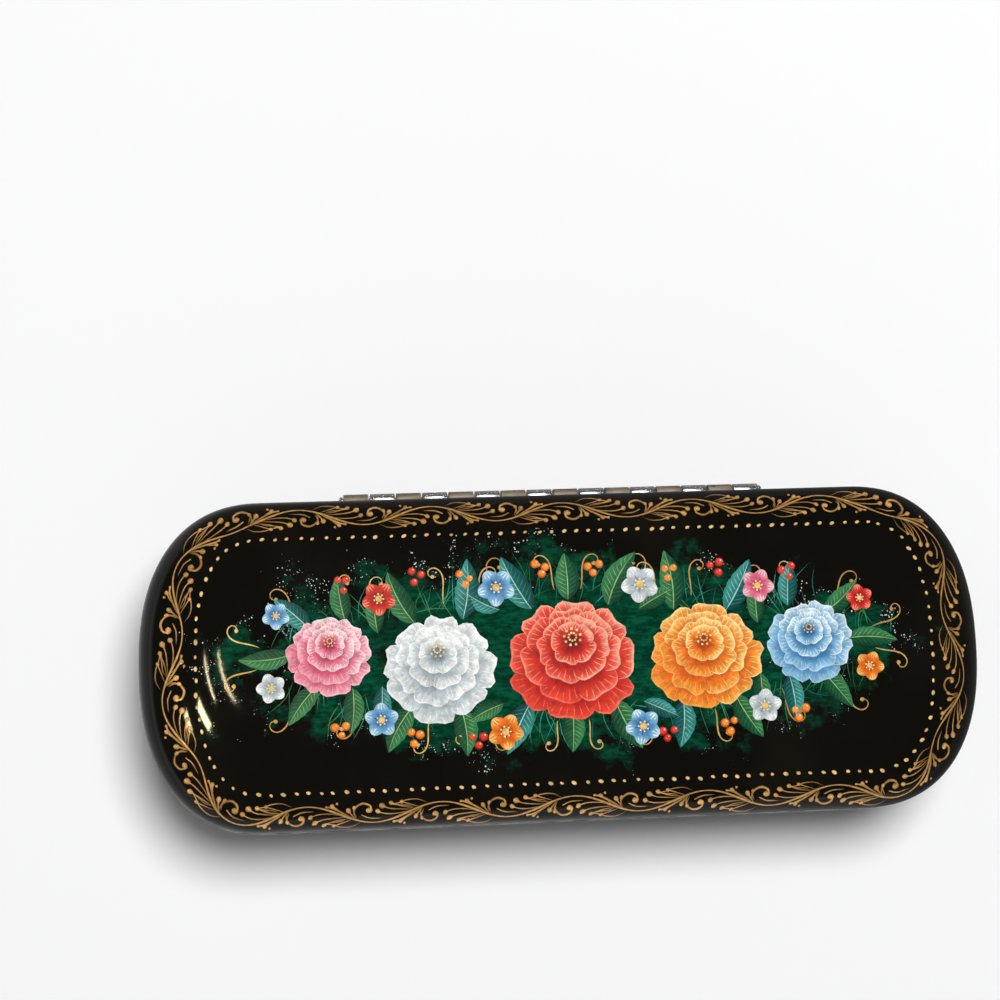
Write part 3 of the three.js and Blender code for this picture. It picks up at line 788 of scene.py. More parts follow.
class Flower:
    """Rings of petals round a middle, in the plan of the lid. Each petal is a fan whose reach falls off
    at its corners and dips at its tip; inner rings lie higher and further back."""

    def __init__(self, brush, draw, middle, radius, palette):
        self.brush, self.draw, self.palette = brush, draw, palette
        self.middle, self.radius = np.array(middle), radius

    def petal(self, middle, turn, inner, reach, spread, height, glow):
        ruffle, phase = self.draw.uniform(0.01, 0.03), self.draw.uniform(0, 6)

        def place(u, v):
            edge = 1 - 0.28 * u**4 - 0.07 * np.exp(-((u / 0.28) ** 2)) + ruffle * np.cos(7 * u + phase)
            angle = turn + u * spread / 2 * (0.55 + 0.45 * np.sqrt(v))
            r = inner + (reach * edge - inner) * v
            return middle + np.stack([r * np.cos(angle), r * np.sin(angle) * 0.94], -1)

        def tint(u, v):
            tone = np.clip(v * (0.95 - 0.25 * np.abs(u) ** 3) * glow, 0, 1)
            return shade(self.palette, tone)

        self.brush.patch(place, tint, height, PETAL_CROWN)
        top = height + PETAL_CROWN
        pale, deep = shade(self.palette, min(1.0, 0.98 * glow)), shade(self.palette, 0.08)
        rim = np.linspace(-0.92, 0.92, 9)
        self.brush.line(place(rim, np.full_like(rim, 0.97)), 0.014 * self.radius, top, pale, rings=11)
        for u in (-0.66, -0.4, -0.14, 0.12, 0.38, 0.64):
            v = np.linspace(0.95, 0.95 - self.draw.uniform(0.2, 0.42), 3)
            hair = place(np.full(3, u) * (1 - 0.25 * (0.95 - v)), v)
            self.brush.line(hair, 0.008 * self.radius, top, pale, rings=5)
        for u in (-0.45, -0.15, 0.15, 0.45):
            v = np.linspace(0.03, self.draw.uniform(0.35, 0.6), 3)
            self.brush.line(place(np.full(3, u), v), 0.008 * self.radius, top, deep, rings=5)

    def rings(self, layout):
        """layout rows: petals, inner and outer share of the radius, and brightness."""
        for level, (count, inner, outer, glow) in enumerate(layout):
            middle = self.middle + (0, BACK_STEP * level * self.radius)
            start = self.draw.uniform(0, 6)
            for turn in start + np.arange(count) * 2 * np.pi / count:
                lean = 1 - 0.08 * math.sin(turn)
                reach = outer * self.radius * lean * self.draw.uniform(0.95, 1.05)
                spread = 2 * np.pi / count * self.draw.uniform(1.2, 1.35)
                light = glow * (1 + 0.12 * math.sin(turn + 0.6)) * self.draw.uniform(0.94, 1.04)
                height = PETAL_HEIGHT + PETAL_STEP * level + self.draw.uniform(0, PETAL_SCATTER)
                self.petal(middle, turn, inner * self.radius, reach, spread, height, light)
        return self.middle + (0, BACK_STEP * len(layout) * self.radius)

    def heart(self, middle, radius, count=9):
        """A dark eye with two rings of gold stamens."""
        self.brush.drop(middle, (radius, radius * 0.9), 0, HEART_HEIGHT, shade(self.palette, 0.1), 14)
        for turn in np.arange(count) * 2 * np.pi / count:
            for share, size in ((0.95, 0.17), (0.45, 0.14)):
                spot = middle + radius * share * towards(turn + share)
                gold = shade("gold", self.draw.uniform(0.7, 1.0))
                self.brush.drop(spot, (radius * size,) * 2, 0, STAMEN_RISE, gold, 6, HEART_HEIGHT)


def leaf(brush, draw, foot, turn, length, width, palette):
    """A leaf: half-width follows a skewed sine along a bent rib; one half is lighter, with pale veins."""
    bend = draw.uniform(-0.25, 0.25)
    ahead = towards(turn)
    side = left_of(ahead)

    def place(u, v):
        u, v = np.broadcast_arrays(u, v)
        half = width / 2 * np.sin(np.pi * v**0.8) ** 0.85 * (1 + 0.04 * np.cos(40 * v))
        across = half * u + bend * length * v * (v - 1)
        return foot + (length * v)[..., None] * ahead + across[..., None] * side

    def tint(u, v):
        return shade(palette, np.clip(0.32 + 0.26 * np.sign(u) * np.abs(u) ** 0.5 + 0.16 * v, 0, 1))

    brush.patch(place, tint, LEAF_HEIGHT, LEAF_CROWN, rows=19)
    top, pale = LEAF_HEIGHT + LEAF_CROWN, shade(palette, 0.95)
    v = np.linspace(0.0, 0.97, 5)
    brush.line(place(0 * v, v), 0.03 * width, top, pale, rings=9)
    for start in np.arange(0.12, 0.84, 0.09):
        for hand, tone in ((-1, 0.62), (1, 0.9)):
            v = np.linspace(start, min(0.98, start + 0.13), 3)
            u = hand * np.array([0.05, 0.5, 0.86])
            brush.line(place(u, v), 0.016 * width, top, shade(palette, tone), rings=5)


def small_flower(brush, draw, middle, radius, palette):
    """Five round petals, each with pale flecks and a dark vein, round a gold eye ringed with dots."""
    start = draw.uniform(0, 6)
    top = SMALL_HEIGHT + SMALL_CROWN

    def tint(u, v):
        return shade(palette, 0.2 + 0.7 * v - 0.1 * u**2)

    for turn in start + np.arange(5) * 2 * np.pi / 5:
        ahead = towards(turn)
        side = left_of(ahead)

        def place(u, v, ahead=ahead, side=side):
            along_petal = radius * (0.08 + 0.92 * v * (1 - 0.12 * u**2))
            across = radius * 0.46 * u * np.sin(np.pi * np.clip(v, 0, 1) ** 0.75 * 0.86) ** 0.7
            return middle + along_petal[..., None] * ahead + across[..., None] * side

        brush.patch(place, tint, SMALL_HEIGHT, SMALL_CROWN, rows=5, columns=6)
        for u, v in ((-0.4, 0.62), (0.0, 0.5), (0.4, 0.62)):
            fleck = place(np.full(3, u), np.linspace(v, 0.95, 3))
            brush.line(fleck, 0.028 * radius, top, shade(palette, 1.0), rings=5)
        vein = place(np.zeros(3), np.linspace(0.15, 0.48, 3))
        brush.line(vein, 0.03 * radius, top, shade(palette, 0.05), rings=5)
    floor = SMALL_HEIGHT + DROP_RISE
    brush.drop(middle, (0.2 * radius,) * 2, 0, EYE_RISE, shade("gold", 0.75), 8, floor)
    floor = SMALL_HEIGHT + EYE_RISE
    for turn in start + np.arange(7) * 2 * np.pi / 7:
        spot = middle + 0.27 * radius * towards(turn)
        brush.drop(spot, (0.06 * radius,) * 2, 0, DROP_RISE, shade("gold", 1.0), 5, floor)


def berry(brush, middle, radius, palette):
    """A round berry: dark rim, bright body and a white fleck where the light falls."""
    brush.drop(middle, (radius, radius), 0, BERRY_HEIGHT, shade(palette, 0.3), 12)
    body = middle + radius * 0.1
    brush.drop(body, (0.72 * radius,) * 2, 0, DROP_RISE, shade(palette, 0.75), 10, BERRY_HEIGHT)
    fleck = middle + radius * np.array([0.3, 0.34])
    floor = BERRY_HEIGHT + DROP_RISE / 2
    brush.drop(fleck, (0.22 * radius,) * 2, 0, DROP_RISE, (1.0, 0.95, 0.9), 6, floor)


def band_outline(form, half_length, half_width, power, count=4000, end_steps=400):
    """A closed line round the lid, clockwise from the back's middle, walked in equal steps, and its
    outward normals. It has the shell's straight sides and superelliptic ends of its own."""
    angle = np.linspace(np.pi / 2, -np.pi / 2, end_steps)
    x = form.straight + bent(np.maximum(0, np.cos(angle)), power) * (half_length - form.straight)
    right = np.stack([x, bent(np.sin(angle), power) * half_width], -1)
    start = [(0, half_width)]
    loop = spaced(np.concatenate([start, right, -right, start]), count + 1)
    ahead = np.gradient(loop, axis=0)
    ahead[0] = ahead[-1] = loop[1] - loop[-2]
    ahead /= np.linalg.norm(ahead, axis=1, keepdims=True)
    return loop, left_of(ahead)


def smooth_normals(loop, outward, s):
    """Outward normals at distances along a loop, by linear interpolation between its points' normals."""
    gone = np.linspace(0, length_of(loop), len(loop))
    found = np.stack([np.interp(s, gone, outward[:, i]) for i in range(2)], -1)
    return found / np.linalg.norm(found, axis=1, keepdims=True)


# Operators

class CASE_OT_shells(Operator):
    """Smooth lacquered shells with half-round rim beads, rolled hems and the hinge slot."""

    bl_idname = "case.shells"
    bl_label = "Shells"

    def execute(self, context):
        shape, finish = context.scene.case_shape, context.scene.case_finish
        inner = shape.bead + shape.sheet
        half, r = shape.rim_gap / 2, shape.rim_round
        bead_turn = np.linspace(0, np.pi, 9)
        bead_inset = shape.bead * (1 + np.cos(bead_turn)) / 2
        bead_height = shape.bead_height + shape.bead * np.cos(bead_turn)
        hem_root = shape.hem_height + shape.hem_depth - inner
        edge = np.concatenate(
            [
                np.stack([bead_inset, bead_height], -1),
                quarter((r, half + r), (r, r), 180, 270),
                quarter((shape.hem_depth - r, half + r), (r, r), 270, 360),
                [(shape.hem_depth, shape.hem_height), (inner, hem_root)],
            ]
        )
        notch = context.scene.case_hinge.length / 2 + shape.slot_margin
        for name, body in (("lid_shell", "lid"), ("base_shell", "base")):
            form = Form(shape, body == "lid")
            skin, hollow = (shape.bead, 0), (inner, shape.sheet)
            points, quads = tray(form, skin, hollow, edge, notch, shape.slot_depth)
            lacquer = lacquer_finish(finish, f"{body}_lacquer", body == "lid")
            piece(f"lacquered_{name}", points, quads, lacquer, body, [name], "lacquer")
        return {"FINISHED"}


class CASE_OT_linings(Operator):
    """Flocked trays with a soft edge and a window for the hinge leaf."""

    bl_idname = "case.linings"
    bl_label = "Linings"

    def execute(self, context):
        shape, hinge = context.scene.case_shape, context.scene.case_hinge
        flock = flock_finish(context.scene.case_finish, "flock")
        back = shape.hem_depth + shape.lining_gap
        face, r = back + shape.lining, shape.lining_round
        edge = np.concatenate(
            [
                quarter((back + r, shape.lining_drop + r), (r, r), 180, 270),
                quarter((face - r, shape.lining_drop + r), (r, r), 270, 360),
            ]
        )
        notch = hinge.length / 2 + shape.slot_margin + shape.window_gap
        height = hinge.reach + shape.window_gap
        for name, body in (("lid_lining", "lid"), ("base_lining", "base")):
            form = Form(shape, body == "lid")
            hollow = (face, shape.lining_bed + shape.lining)
            points, quads = tray(form, (back, shape.lining_bed), hollow, edge, notch, height)
            piece(f"flocked_{name}", points, quads, flock, body, [name], "flock")
        return {"FINISHED"}


class CASE_OT_pads(Operator):
    """Foam pads on the flats of the shells, full in the middle and thinning to their edge."""

    bl_idname = "case.pads"
    bl_label = "Foam pads"

    EVEN = 0.8  # share of a pad with evenly spaced rings; outside it they crowd towards the edge
    RINGS = 9  # in each of the two
    FULLNESS = 8  # power of the fall in thickness towards the edge

    def execute(self, context):
        """Rings run out over the back of a pad and in again over its face. The face lies off the back by
        the pad's thickness times the square root of 1 - share^fullness."""
        shape = context.scene.case_shape
        foam = foam_finish(context.scene.case_finish, "foam")
        inset = shape.bead + shape.sheet
        crowd = np.sin(np.linspace(0, np.pi / 2, self.RINGS))[1:]
        out = np.concatenate([np.linspace(0, self.EVEN, self.RINGS), self.EVEN + (1 - self.EVEN) * crowd])
        full = (1 - out**self.FULLNESS) ** 0.5
        thick = np.concatenate([np.zeros(len(full)), full[-2::-1] * shape.pad])
        for body, reach in (("lid", shape.lid_pad), ("base", shape.base_pad)):
            form = Form(shape, body == "lid")
            x0, lean_x, lean_y, _ = outline_stations(form, form.straight / 2)
            share = np.concatenate([out, out[-2::-1]]) * reach
            height = (form.dome(share, shape.pad_bed) - thick)[:, None]
            points = form.place(inset, share[:, None], x0, lean_x, lean_y, height)
            quads = grid_quads(*points.shape[:2], round_columns=True)[:, ::-form.up]
            pad = piece(
                f"soft_{body}_pad", points.reshape(-1, 3), quads, foam, body, [f"{body}_foam_pad"], "foam"
            )
        return {"FINISHED"}


class CASE_OT_hinge(Operator):
    """Two leaves of rolled knuckles and the pin through them; finishes for the spring and rivets."""

    bl_idname = "case.hinge"
    bl_label = "Hinge"

    ROLL_STEPS = 44
    PLATE_STEPS = 3
    PIN_SIDES = 40

    def leaf(self, hinge, up):
        """A plate and every second knuckle. A knuckle's path comes along the leaf and goes round the
        pin on a circle; the lid's middle two swell by a parabola where the spring rides on them."""
        spine = hinge.back + hinge.leaf / 2
        tip = 2 * np.pi + math.acos((hinge.roll_gap - hinge.back) / (hinge.back + hinge.leaf))
        turn = np.linspace(np.pi, tip, self.ROLL_STEPS)
        steps = self.PLATE_STEPS
        rise = np.linspace(hinge.start + hinge.lap, 0, steps, endpoint=False)
        tail = np.stack([np.full(steps, -spine), rise], -1)
        outward = np.tile([-1.0, 0.0], (steps, 1))
        path = np.concatenate([tail, spine * np.stack([np.cos(turn), np.sin(turn)], -1)])
        normal = np.concatenate([outward, path[steps:] / spine])
        crest = np.pi + LID_SWING / 2
        swell = np.maximum(0, 1 - ((turn - crest) / hinge.lobe_spread) ** 2)
        swell = np.concatenate([np.zeros(steps), swell])
        pitch = hinge.length / hinge.knuckles
        parts = []
        for i in range(0 if up > 0 else 1, hinge.knuckles, 2):
            start = -hinge.length / 2 + i * pitch + hinge.gap / 2
            section = rounded_bar(hinge.leaf, start, start + pitch - hinge.gap, hinge.edge)
            near = up > 0 and abs(i - (hinge.knuckles - 1) / 2) < 2
            lift = swell * hinge.lobe if near else 0 * swell
            out = section[:, 0] * (1 + lift / hinge.leaf)[:, None]
            parts.append(carried(path + normal * lift[:, None] / 2, normal, out, section[:, 1]))
        plate = rounded_bar(hinge.leaf, -hinge.length / 2, hinge.length / 2, hinge.edge)
        rise = np.linspace(hinge.reach, hinge.start, steps + 1)
        straight = np.stack([np.full(steps + 1, -spine), rise], -1)
        outward = np.tile([-1.0, 0.0], (steps + 1, 1))
        flat = np.tile(plate[:, 0], (steps + 1, 1))
        parts.append(carried(straight, outward, flat, plate[:, 1]))
        points, quads = joined(parts)
        return points * (1, 1, up) + (0, HINGE_Y, HINGE_Z), quads[:, ::up]

    def pin(self, hinge):
        """A lathe profile turned round the hinge axis: a straight pin between two domed heads."""
        half, r = hinge.length / 2, hinge.pin + hinge.pin_proud
        dome = quarter((half + hinge.pin_head / 2, 0), (hinge.pin_head / 2, r), 90, 0, 9)
        right = np.concatenate([[(half, hinge.pin), (half, r)], dome])
        profile = np.concatenate([right[::-1] * (-1, 1), right])
        turn = np.linspace(0, 2 * np.pi, self.PIN_SIDES, endpoint=False)
        x = np.broadcast_to(profile[:, :1], (len(profile), self.PIN_SIDES))
        y = HINGE_Y + profile[:, 1:] * np.cos(turn)
        z = HINGE_Z + profile[:, 1:] * np.sin(turn)
        points = np.stack([x, y, z], -1).reshape(-1, 3)
        return points, grid_quads(len(profile), self.PIN_SIDES, round_columns=True)

    def execute(self, context):
        hinge, finish = context.scene.case_hinge, context.scene.case_finish
        bright = metal_finish(finish.nickel, "bright_nickel", 0.15, 0.04)
        # Lit and shaded copies of one nickel: the lid leaf's darker colour is painted shade
        dull = metal_finish(finish.nickel_shaded, "dull_nickel", 0.48, 0.15)
        steel = metal_finish(finish.spring, "spring_steel", 0.25, 0.1)
        piece("rolled_lid_leaf", *self.leaf(hinge, 1), dull, "lid", ["lid_hinge_leaf"], "nickel")
        piece("rolled_base_leaf", *self.leaf(hinge, -1), bright, "base", ["base_hinge_leaf"], "nickel")
        piece("peened_pin", *self.pin(hinge), bright, "base", ["hinge_pin"], "nickel")
        for name, node in frame["nodes"].items():
            if "rivet" in name or name == "snap_spring":
                node.data.materials.clear()
                node.data.materials.append(steel if name == "snap_spring" else bright)
        return {"FINISHED"}


class CASE_OT_cover(Operator):
    """Soft strip over the inside of the hinge, glued to both linings."""

    bl_idname = "case.cover"
    bl_label = "Hinge cover"

    ROWS, COLUMNS = 81, 121
    THIN = 0.04  # thickness at the edges, as a share of the strip's
    LAID = 0.95  # share of the gap under the strip that its edges come down
    BELL = 1.3  # width of the creased band, in crease pitches
    CROWD = 1.5  # power by which the columns crowd towards the strip's ends

    def execute(self, context):
        """The strip's glued face follows the linings, clear of the hinge in its middle and down on the
        flock at its edges. Its soft face thins out to the edges by smooth steps and has low creases
        along the hinge, a cosine under a bell curve. Its corners are round."""
        shape, hinge = context.scene.case_shape, context.scene.case_hinge
        face = shape.hem_depth + shape.lining_gap + shape.lining
        bed = shape.lining_bed + shape.lining
        across = shape.width / 2 - face
        half = COVER_HIGH.x
        reach = (HINGE_Z - COVER_LOW.z, COVER_HIGH.z - HINGE_Z)
        rise = np.linspace(-reach[0], reach[1], self.ROWS)
        lid, base = Form(shape, True), Form(shape, False)
        share = np.where(rise > 0, lid.share_at(rise, bed), base.share_at(-rise, bed))
        spine = np.stack([COVER_HIGH.y + across * (share - 1), HINGE_Z + rise], -1)
        ahead = np.gradient(spine, axis=0)
        ahead /= np.linalg.norm(ahead, axis=1, keepdims=True)
        normal = left_of(ahead)
        wide = np.linspace(-1, 1, self.COLUMNS)
        wide = np.sign(wide) * (1 - (1 - np.abs(wide)) ** self.CROWD)
        w = np.concatenate([wide, wide[::-1]])
        soft_side = np.arange(len(w)) < len(wide)
        from_edge = (np.minimum(rise + reach[0], reach[1] - rise) / (sum(reach) / 2))[:, None]
        from_end = (1 - np.abs(w)) * half / hinge.cover_end
        full = smooth_step(from_edge / hinge.cover_slope) * smooth_step(from_end)
        crease = hinge.crease * np.cos(2 * np.pi * rise / hinge.crease_pitch)
        crease *= np.exp(-((rise / hinge.crease_pitch / self.BELL) ** 2))
        soft = hinge.cover * (self.THIN + (1 - self.THIN) * full) + crease[:, None] * full
        gap = across - COVER_HIGH.y
        out = soft_side * soft - self.LAID * gap * (1 - full)
        corner = np.clip(1 - from_edge * sum(reach) / 2 / hinge.cover_corner, 0, 1)
        x = w * (half - hinge.cover_corner * (1 - np.sqrt(1 - corner**2)))
        points, quads = carried(spine, normal, out, x)
        flock = flock_finish(context.scene.case_finish, "flock_strip")
        strip = piece("soft_hinge_cover", points, quads, flock, None, ["hinge_cover"], "flock", crease=70)
        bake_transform(strip)
        return {"FINISHED"}


class CASE_OT_dots(Operator):
    """Line of pale gold dots inside the scroll, each a little different."""

    bl_idname = "case.dots"
    bl_label = "Dot line"

    SCATTER = 0.07  # along the line, as a share of the pitch
    PLUMP = 1.6  # height of a dot, in brush reliefs

    def execute(self, context):
        border = context.scene.case_border
        form = Form(context.scene.case_shape, True)
        draw = np.random.default_rng(7)
        loop, _ = band_outline(form, border.dot_length, border.dot_width, border.dot_power)
        total = length_of(loop)
        count = round(total / border.dot_pitch)
        places = (np.arange(count) + draw.normal(0, self.SCATTER, count)) * total / count
        wander = draw.normal(0, border.dot_wander, (count, 2))
        middles = along(loop, places % total) + wander - (0, border.off_centre)
        ahead = along(loop, (places + MM) % total) - middles
        turns = np.arctan2(ahead[:, 1], ahead[:, 0])
        brush = Brush()
        for middle, turn in zip(middles, turns):
            size = border.dot_radius * draw.uniform(0.75, 1.15)
            glow = draw.uniform(0.8, 1.05)
            tint = glow * np.array([border.pale_gold, border.pale_gold, border.gold, border.gold])
            radii = (size * draw.uniform(1.0, 1.35), size * 0.8)
            brush.drop(middle, radii, turn, border.relief * self.PLUMP, tint)
        brush.piece("dot_line", form, paint_finish("dot_gold", 0.2, 0.35))
        return {"FINISHED"}


class CASE_OT_scroll(Operator):
    """Gold scroll: a waving stem with hooked curls, commas and thin leaves, mirrored at each half wave."""

    bl_idname = "case.scroll"
    bl_label = "Scroll border"

    # Marks of a half wave, in millimetres along and across from the crest of the stem:
    # points of the path, thin and thick half-widths, radius of the ball at its end.
    MARKS = (
        (
            ((3.2, 1.2), (3.8, 0.1), (3.5, -1.1), (2.2, -1.8), (0.85, -1.4), (0.7, -0.6), (1.6, -0.5)),
            0.10, 0.25, 0.60,
        ),
        (((-6.6, -0.2), (-4.6, 0.2), (-2.6, 0.25), (-1.2, -0.05), (-0.3, -0.5)), 0.06, 0.14, 0.48),
        (((-7.4, -0.5), (-5.2, -0.55), (-2.9, -0.8), (-1.0, -1.55)), 0.06, 0.14, 0.56),
        (((-8.0, -0.75), (-5.4, -1.1), (-2.8, -1.95)), 0.06, 0.13, 0.46),
        (((-8.5, -0.95), (-6.6, -1.55), (-4.7, -2.15)), 0.06, 0.12, 0.38),
        (((-1.5, 0.85), (0.8, 0.75), (2.4, 0.1)), 0.06, 0.13, 0.0),
        (((3.4, 1.0), (4.3, -0.1), (5.0, -1.15)), 0.08, 0.18, 0.50),
        (((3.4, 1.05), (5.9, -0.4), (7.8, -1.35), (9.1, -1.6)), 0.10, 0.20, 0.26),
        (((2.7, 1.7), (4.4, 2.4), (6.4, 2.35), (7.8, 1.9), (9.3, 1.65)), 0.07, 0.12, 0.0),
        (((5.2, 0.9), (6.2, 1.3), (7.6, 1.4), (9.3, 1.65)), 0.07, 0.12, 0.0),
        (((-7.1, -0.25), (-5.9, 0.9), (-4.5, 1.85)), 0.07, 0.15, 0.42),
        (((-9.3, -0.7), (-8.8, 0.5), (-9.0, 1.4)), 0.07, 0.13, 0.36),
    )
    LOOSE_DOT = (6.9, -2.0, 0.24)
    DRAWN_WAVE = 25.1
    STEM, STEM_SWELL = 0.18, 0.05  # half-width of the stem, and how much it swells twice a wave
    STEM_PHASE = 3.1  # radians
    STEM_RINGS = 90  # in each wave
    WANDER = 0.06  # scatter of the marks
    MARK_RINGS, CURL_RINGS = 22, 34
    # A mark brightens from its foot to its ball: the bright ball is a painted highlight
    FOOT_GLOW, TIP_GLOW = 0.38, 1.25  # brightness at the two ends of a mark

    def execute(self, context):
        """The stem swings from the band's middle line by a cosine. Each mark is a Catmull-Rom path whose
        half-width swells by part of a sine and ends in a point or a ball."""
        border = context.scene.case_border
        form = Form(context.scene.case_shape, True)
        draw = np.random.default_rng(3)
        middle_line = border.scroll_length, border.scroll_width, border.scroll_power
        loop, outward = band_outline(form, *middle_line)
        total = length_of(loop)
        wave = total / border.waves

        def on_band(s, o):
            normal = smooth_normals(loop, outward, np.mod(s, total))
            across = o * (1 + border.end_spread * np.abs(normal[:, 0]))
            return along(loop, np.mod(s, total)) + normal * across[:, None] - (0, border.off_centre)

        brush = Brush()
        gold = np.array(border.gold)
        # Darker gold at the stroke edges is painted shade; the paler crown is a painted highlight
        edge = border.edge_painted_shade * gold
        crown = border.crown_highlight_gold * gold + border.crown_highlight_pale * np.array(border.pale_gold)
        ridge = np.stack([edge, crown, edge, edge])
        rounds = np.linspace(0, total, self.STEM_RINGS * border.waves, endpoint=False)
        swing = border.swing * np.cos(2 * np.pi * rounds / wave)
        stem = self.STEM + self.STEM_SWELL * np.cos(4 * np.pi * rounds / wave + self.STEM_PHASE)
        load = draw.uniform(0.85, 1.1, border.waves)
        load = np.interp(rounds, np.arange(border.waves) * wave, load, period=total)
        tint = load[:, None, None] * ridge
        brush.stroke(on_band(rounds, swing), stem * border.fine * MM, border.relief, tint, endless=True)
        scale = wave / self.DRAWN_WAVE
        for half in range(2 * border.waves):
            side = 1 if half % 2 == 0 else -1
            crest = half * wave / 2
            for points, thin, thick, ball in self.MARKS:
                path = smooth_path(points, 60) + draw.normal(0, self.WANDER, 2)
                count = self.CURL_RINGS if points is self.MARKS[0][0] else self.MARK_RINGS
                reach = length_of(path)
                walk = reach * (1 - (1 - np.linspace(0, 1, count)) ** 1.5)
                path = along(path, walk)
                t = walk / reach
                left = reach - walk
                body = thin + (thick - thin) * np.sin(np.pi * np.minimum(1, t * 0.85)) ** 0.8
                body *= np.minimum(1, 4 * t + 0.3)
                body *= np.sqrt(np.clip(left / thick, 0.02, 1))
                bulb = np.sqrt(np.maximum(0, ball**2 - (ball - left) ** 2))
                press = border.fine * MM * draw.uniform(0.88, 1.12)
                half_width = np.maximum(np.maximum(body, bulb), 0.02) * press
                s = crest + path[:, 0] * scale
                o = side * path[:, 1] * MM
                # Painted highlight rising from the thin foot towards the ball
                glow = draw.uniform(0.75, 1.1) * (self.FOOT_GLOW + (self.TIP_GLOW - self.FOOT_GLOW) * t)
                brush.stroke(on_band(s, o), half_width, border.relief, glow[:, None, None] * ridge)
            x, y, radius = self.LOOSE_DOT
            spot = on_band(np.array([crest + x * scale]), np.array([side * y * MM]))[0]
            brush.drop(spot, (radius * MM, radius * MM), 0, border.relief, gold)
        brush.piece("scroll_border", form, paint_finish("scroll_gold", 0.35, 0.36))
        return {"FINISHED"}


class CASE_OT_garland(Operator):
    """Folk garland on the lid: five large flowers, small ones, leaves, berries, grass and gold tendrils."""

    bl_idname = "case.garland"
    bl_label = "Flower garland"

    # Millimetres from the middle of the lid: middle, radius and palette of each flower
    LARGE = (
        ((0.5, -0.5), 12.6, "red"),
        ((-25.0, -1.5), 10.8, "white"),
        ((25.5, -1.0), 11.0, "orange"),
        ((-45.0, 1.5), 8.2, "pink"),
        ((45.8, 1.0), 8.4, "blue"),
    )
    SMALL = (
        ((-13.5, 12.8), 3.6, "blue"),
        ((13.8, 12.6), 3.6, "white"),
        ((-12.8, -14.2), 3.4, "orange"),
        ((13.2, -14.2), 3.4, "blue"),
        ((-35.6, 11.4), 3.2, "red"),
        ((36.4, 11.6), 3.2, "pink"),
        ((-35.8, -11.2), 3.2, "blue"),
        ((36.6, -11.2), 3.2, "white"),
        ((-56.0, -4.6), 2.8, "white"),
        ((57.2, -4.4), 2.8, "orange"),
        ((-54.8, 8.8), 2.6, "blue"),
        ((56.0, 8.6), 2.6, "red"),
    )
    # Foot, heading in degrees, length and width of each leaf
    LEAVES = (
        ((-7.0, 8.5), 118, 11.5, 5.0), ((7.5, 8.8), 60, 11.5, 5.0), ((0.0, 10.0), 92, 9.0, 4.6),
        ((-8.0, -9.0), 244, 10.5, 4.8), ((8.0, -9.0), 298, 10.5, 4.8), ((0.0, -10.5), 268, 8.0, 4.4),
        ((-20.0, 7.0), 84, 11.5, 4.8), ((-29.0, 6.5), 116, 11.0, 4.6), ((20.0, 7.5), 96, 11.5, 4.8),
        ((30.0, 7.0), 62, 11.0, 4.6), ((-21.0, -9.5), 276, 9.0, 4.4), ((-30.0, -9.0), 240, 9.5, 4.4),
        ((21.0, -9.5), 264, 9.0, 4.4), ((31.0, -9.0), 302, 9.5, 4.4), ((-42.0, 7.5), 98, 8.6, 3.8),
        ((-48.5, 6.0), 138, 9.0, 3.8), ((-47.5, -4.5), 232, 9.0, 3.8), ((-41.0, -5.0), 266, 8.6, 3.8),
        ((42.0, 7.5), 84, 8.6, 3.8), ((49.0, 6.0), 42, 9.0, 3.8), ((48.0, -5.0), 308, 9.0, 3.8),
        ((41.5, -5.5), 276, 8.6, 3.8), ((-52.0, 1.5), 184, 10.0, 3.8), ((53.0, 1.0), -4, 10.0, 3.8),
        ((-13.0, 8.5), 150, 8.0, 3.4), ((13.5, 8.0), 28, 8.0, 3.4), ((-13.0, -9.0), 205, 7.5, 3.2),
        ((13.5, -9.5), 335, 7.5, 3.2), ((-36.0, 5.0), 90, 9.0, 3.4), ((36.0, 4.5), 90, 9.0, 3.4),
        ((-35.5, -5.0), 268, 8.5, 3.4), ((36.0, -5.0), 272, 8.5, 3.4),
    )
    # Foot, heading, length and turn of each gold tendril. Tendrils and berries have twins on the left half
    TENDRILS = (
        ((9.0, 10.0), 48, 15.0, 300), ((8.5, -11.0), 322, 13.0, -290), ((2.5, 12.0), 74, 11.0, -300),
        ((17.0, 9.5), 104, 12.0, 320), ((18.5, -10.5), 292, 10.0, 320), ((23.5, 10.0), 82, 11.0, -310),
        ((31.5, 8.5), 44, 13.0, 300), ((27.0, -11.5), 284, 10.0, 310), ((40.0, -8.0), 292, 11.0, 300),
        ((41.0, 9.0), 74, 11.0, 310), ((51.0, 7.0), 66, 12.0, -300), ((51.5, -6.0), 296, 12.0, 300),
        ((58.0, 3.0), 26, 10.5, 310), ((58.5, -1.0), -22, 10.5, -310), ((3.0, -12.5), 280, 9.0, 310),
    )
    BERRIES = (
        (5.2, 16.2), (19.6, 14.6), (28.6, 15.4), (42.4, 14.2), (18.0, -15.4), (29.8, -14.6), (43.4, -12.6),
    )
    GRASS_CLUMPS = ((-50, 8), (-38, 12), (-24, 13), (-6, 15), (8, 15), (24, 13), (40, 12), (52, 8))
    # Rings of a large flower from the outside in: petals, inner and outer share of the radius, brightness
    RINGS = ((8, 0.42, 1.0, 0.96), (7, 0.28, 0.78, 1.0), (6, 0.14, 0.56, 1.04), (5, 0.02, 0.35, 1.08))
    HEART = 0.13  # radius of a large flower's heart, as a share of the flower's
    TENDRIL = (0.17 * MM, 0.42 * MM)  # half-width of a tendril, and radius of the ball at its end
    CLUSTER = 1.15  # middle of three berries to the middle of each
    BLADES = 15  # of grass in each clump
    BLADE_FOOT = 5  # from a clump's place in towards the flowers

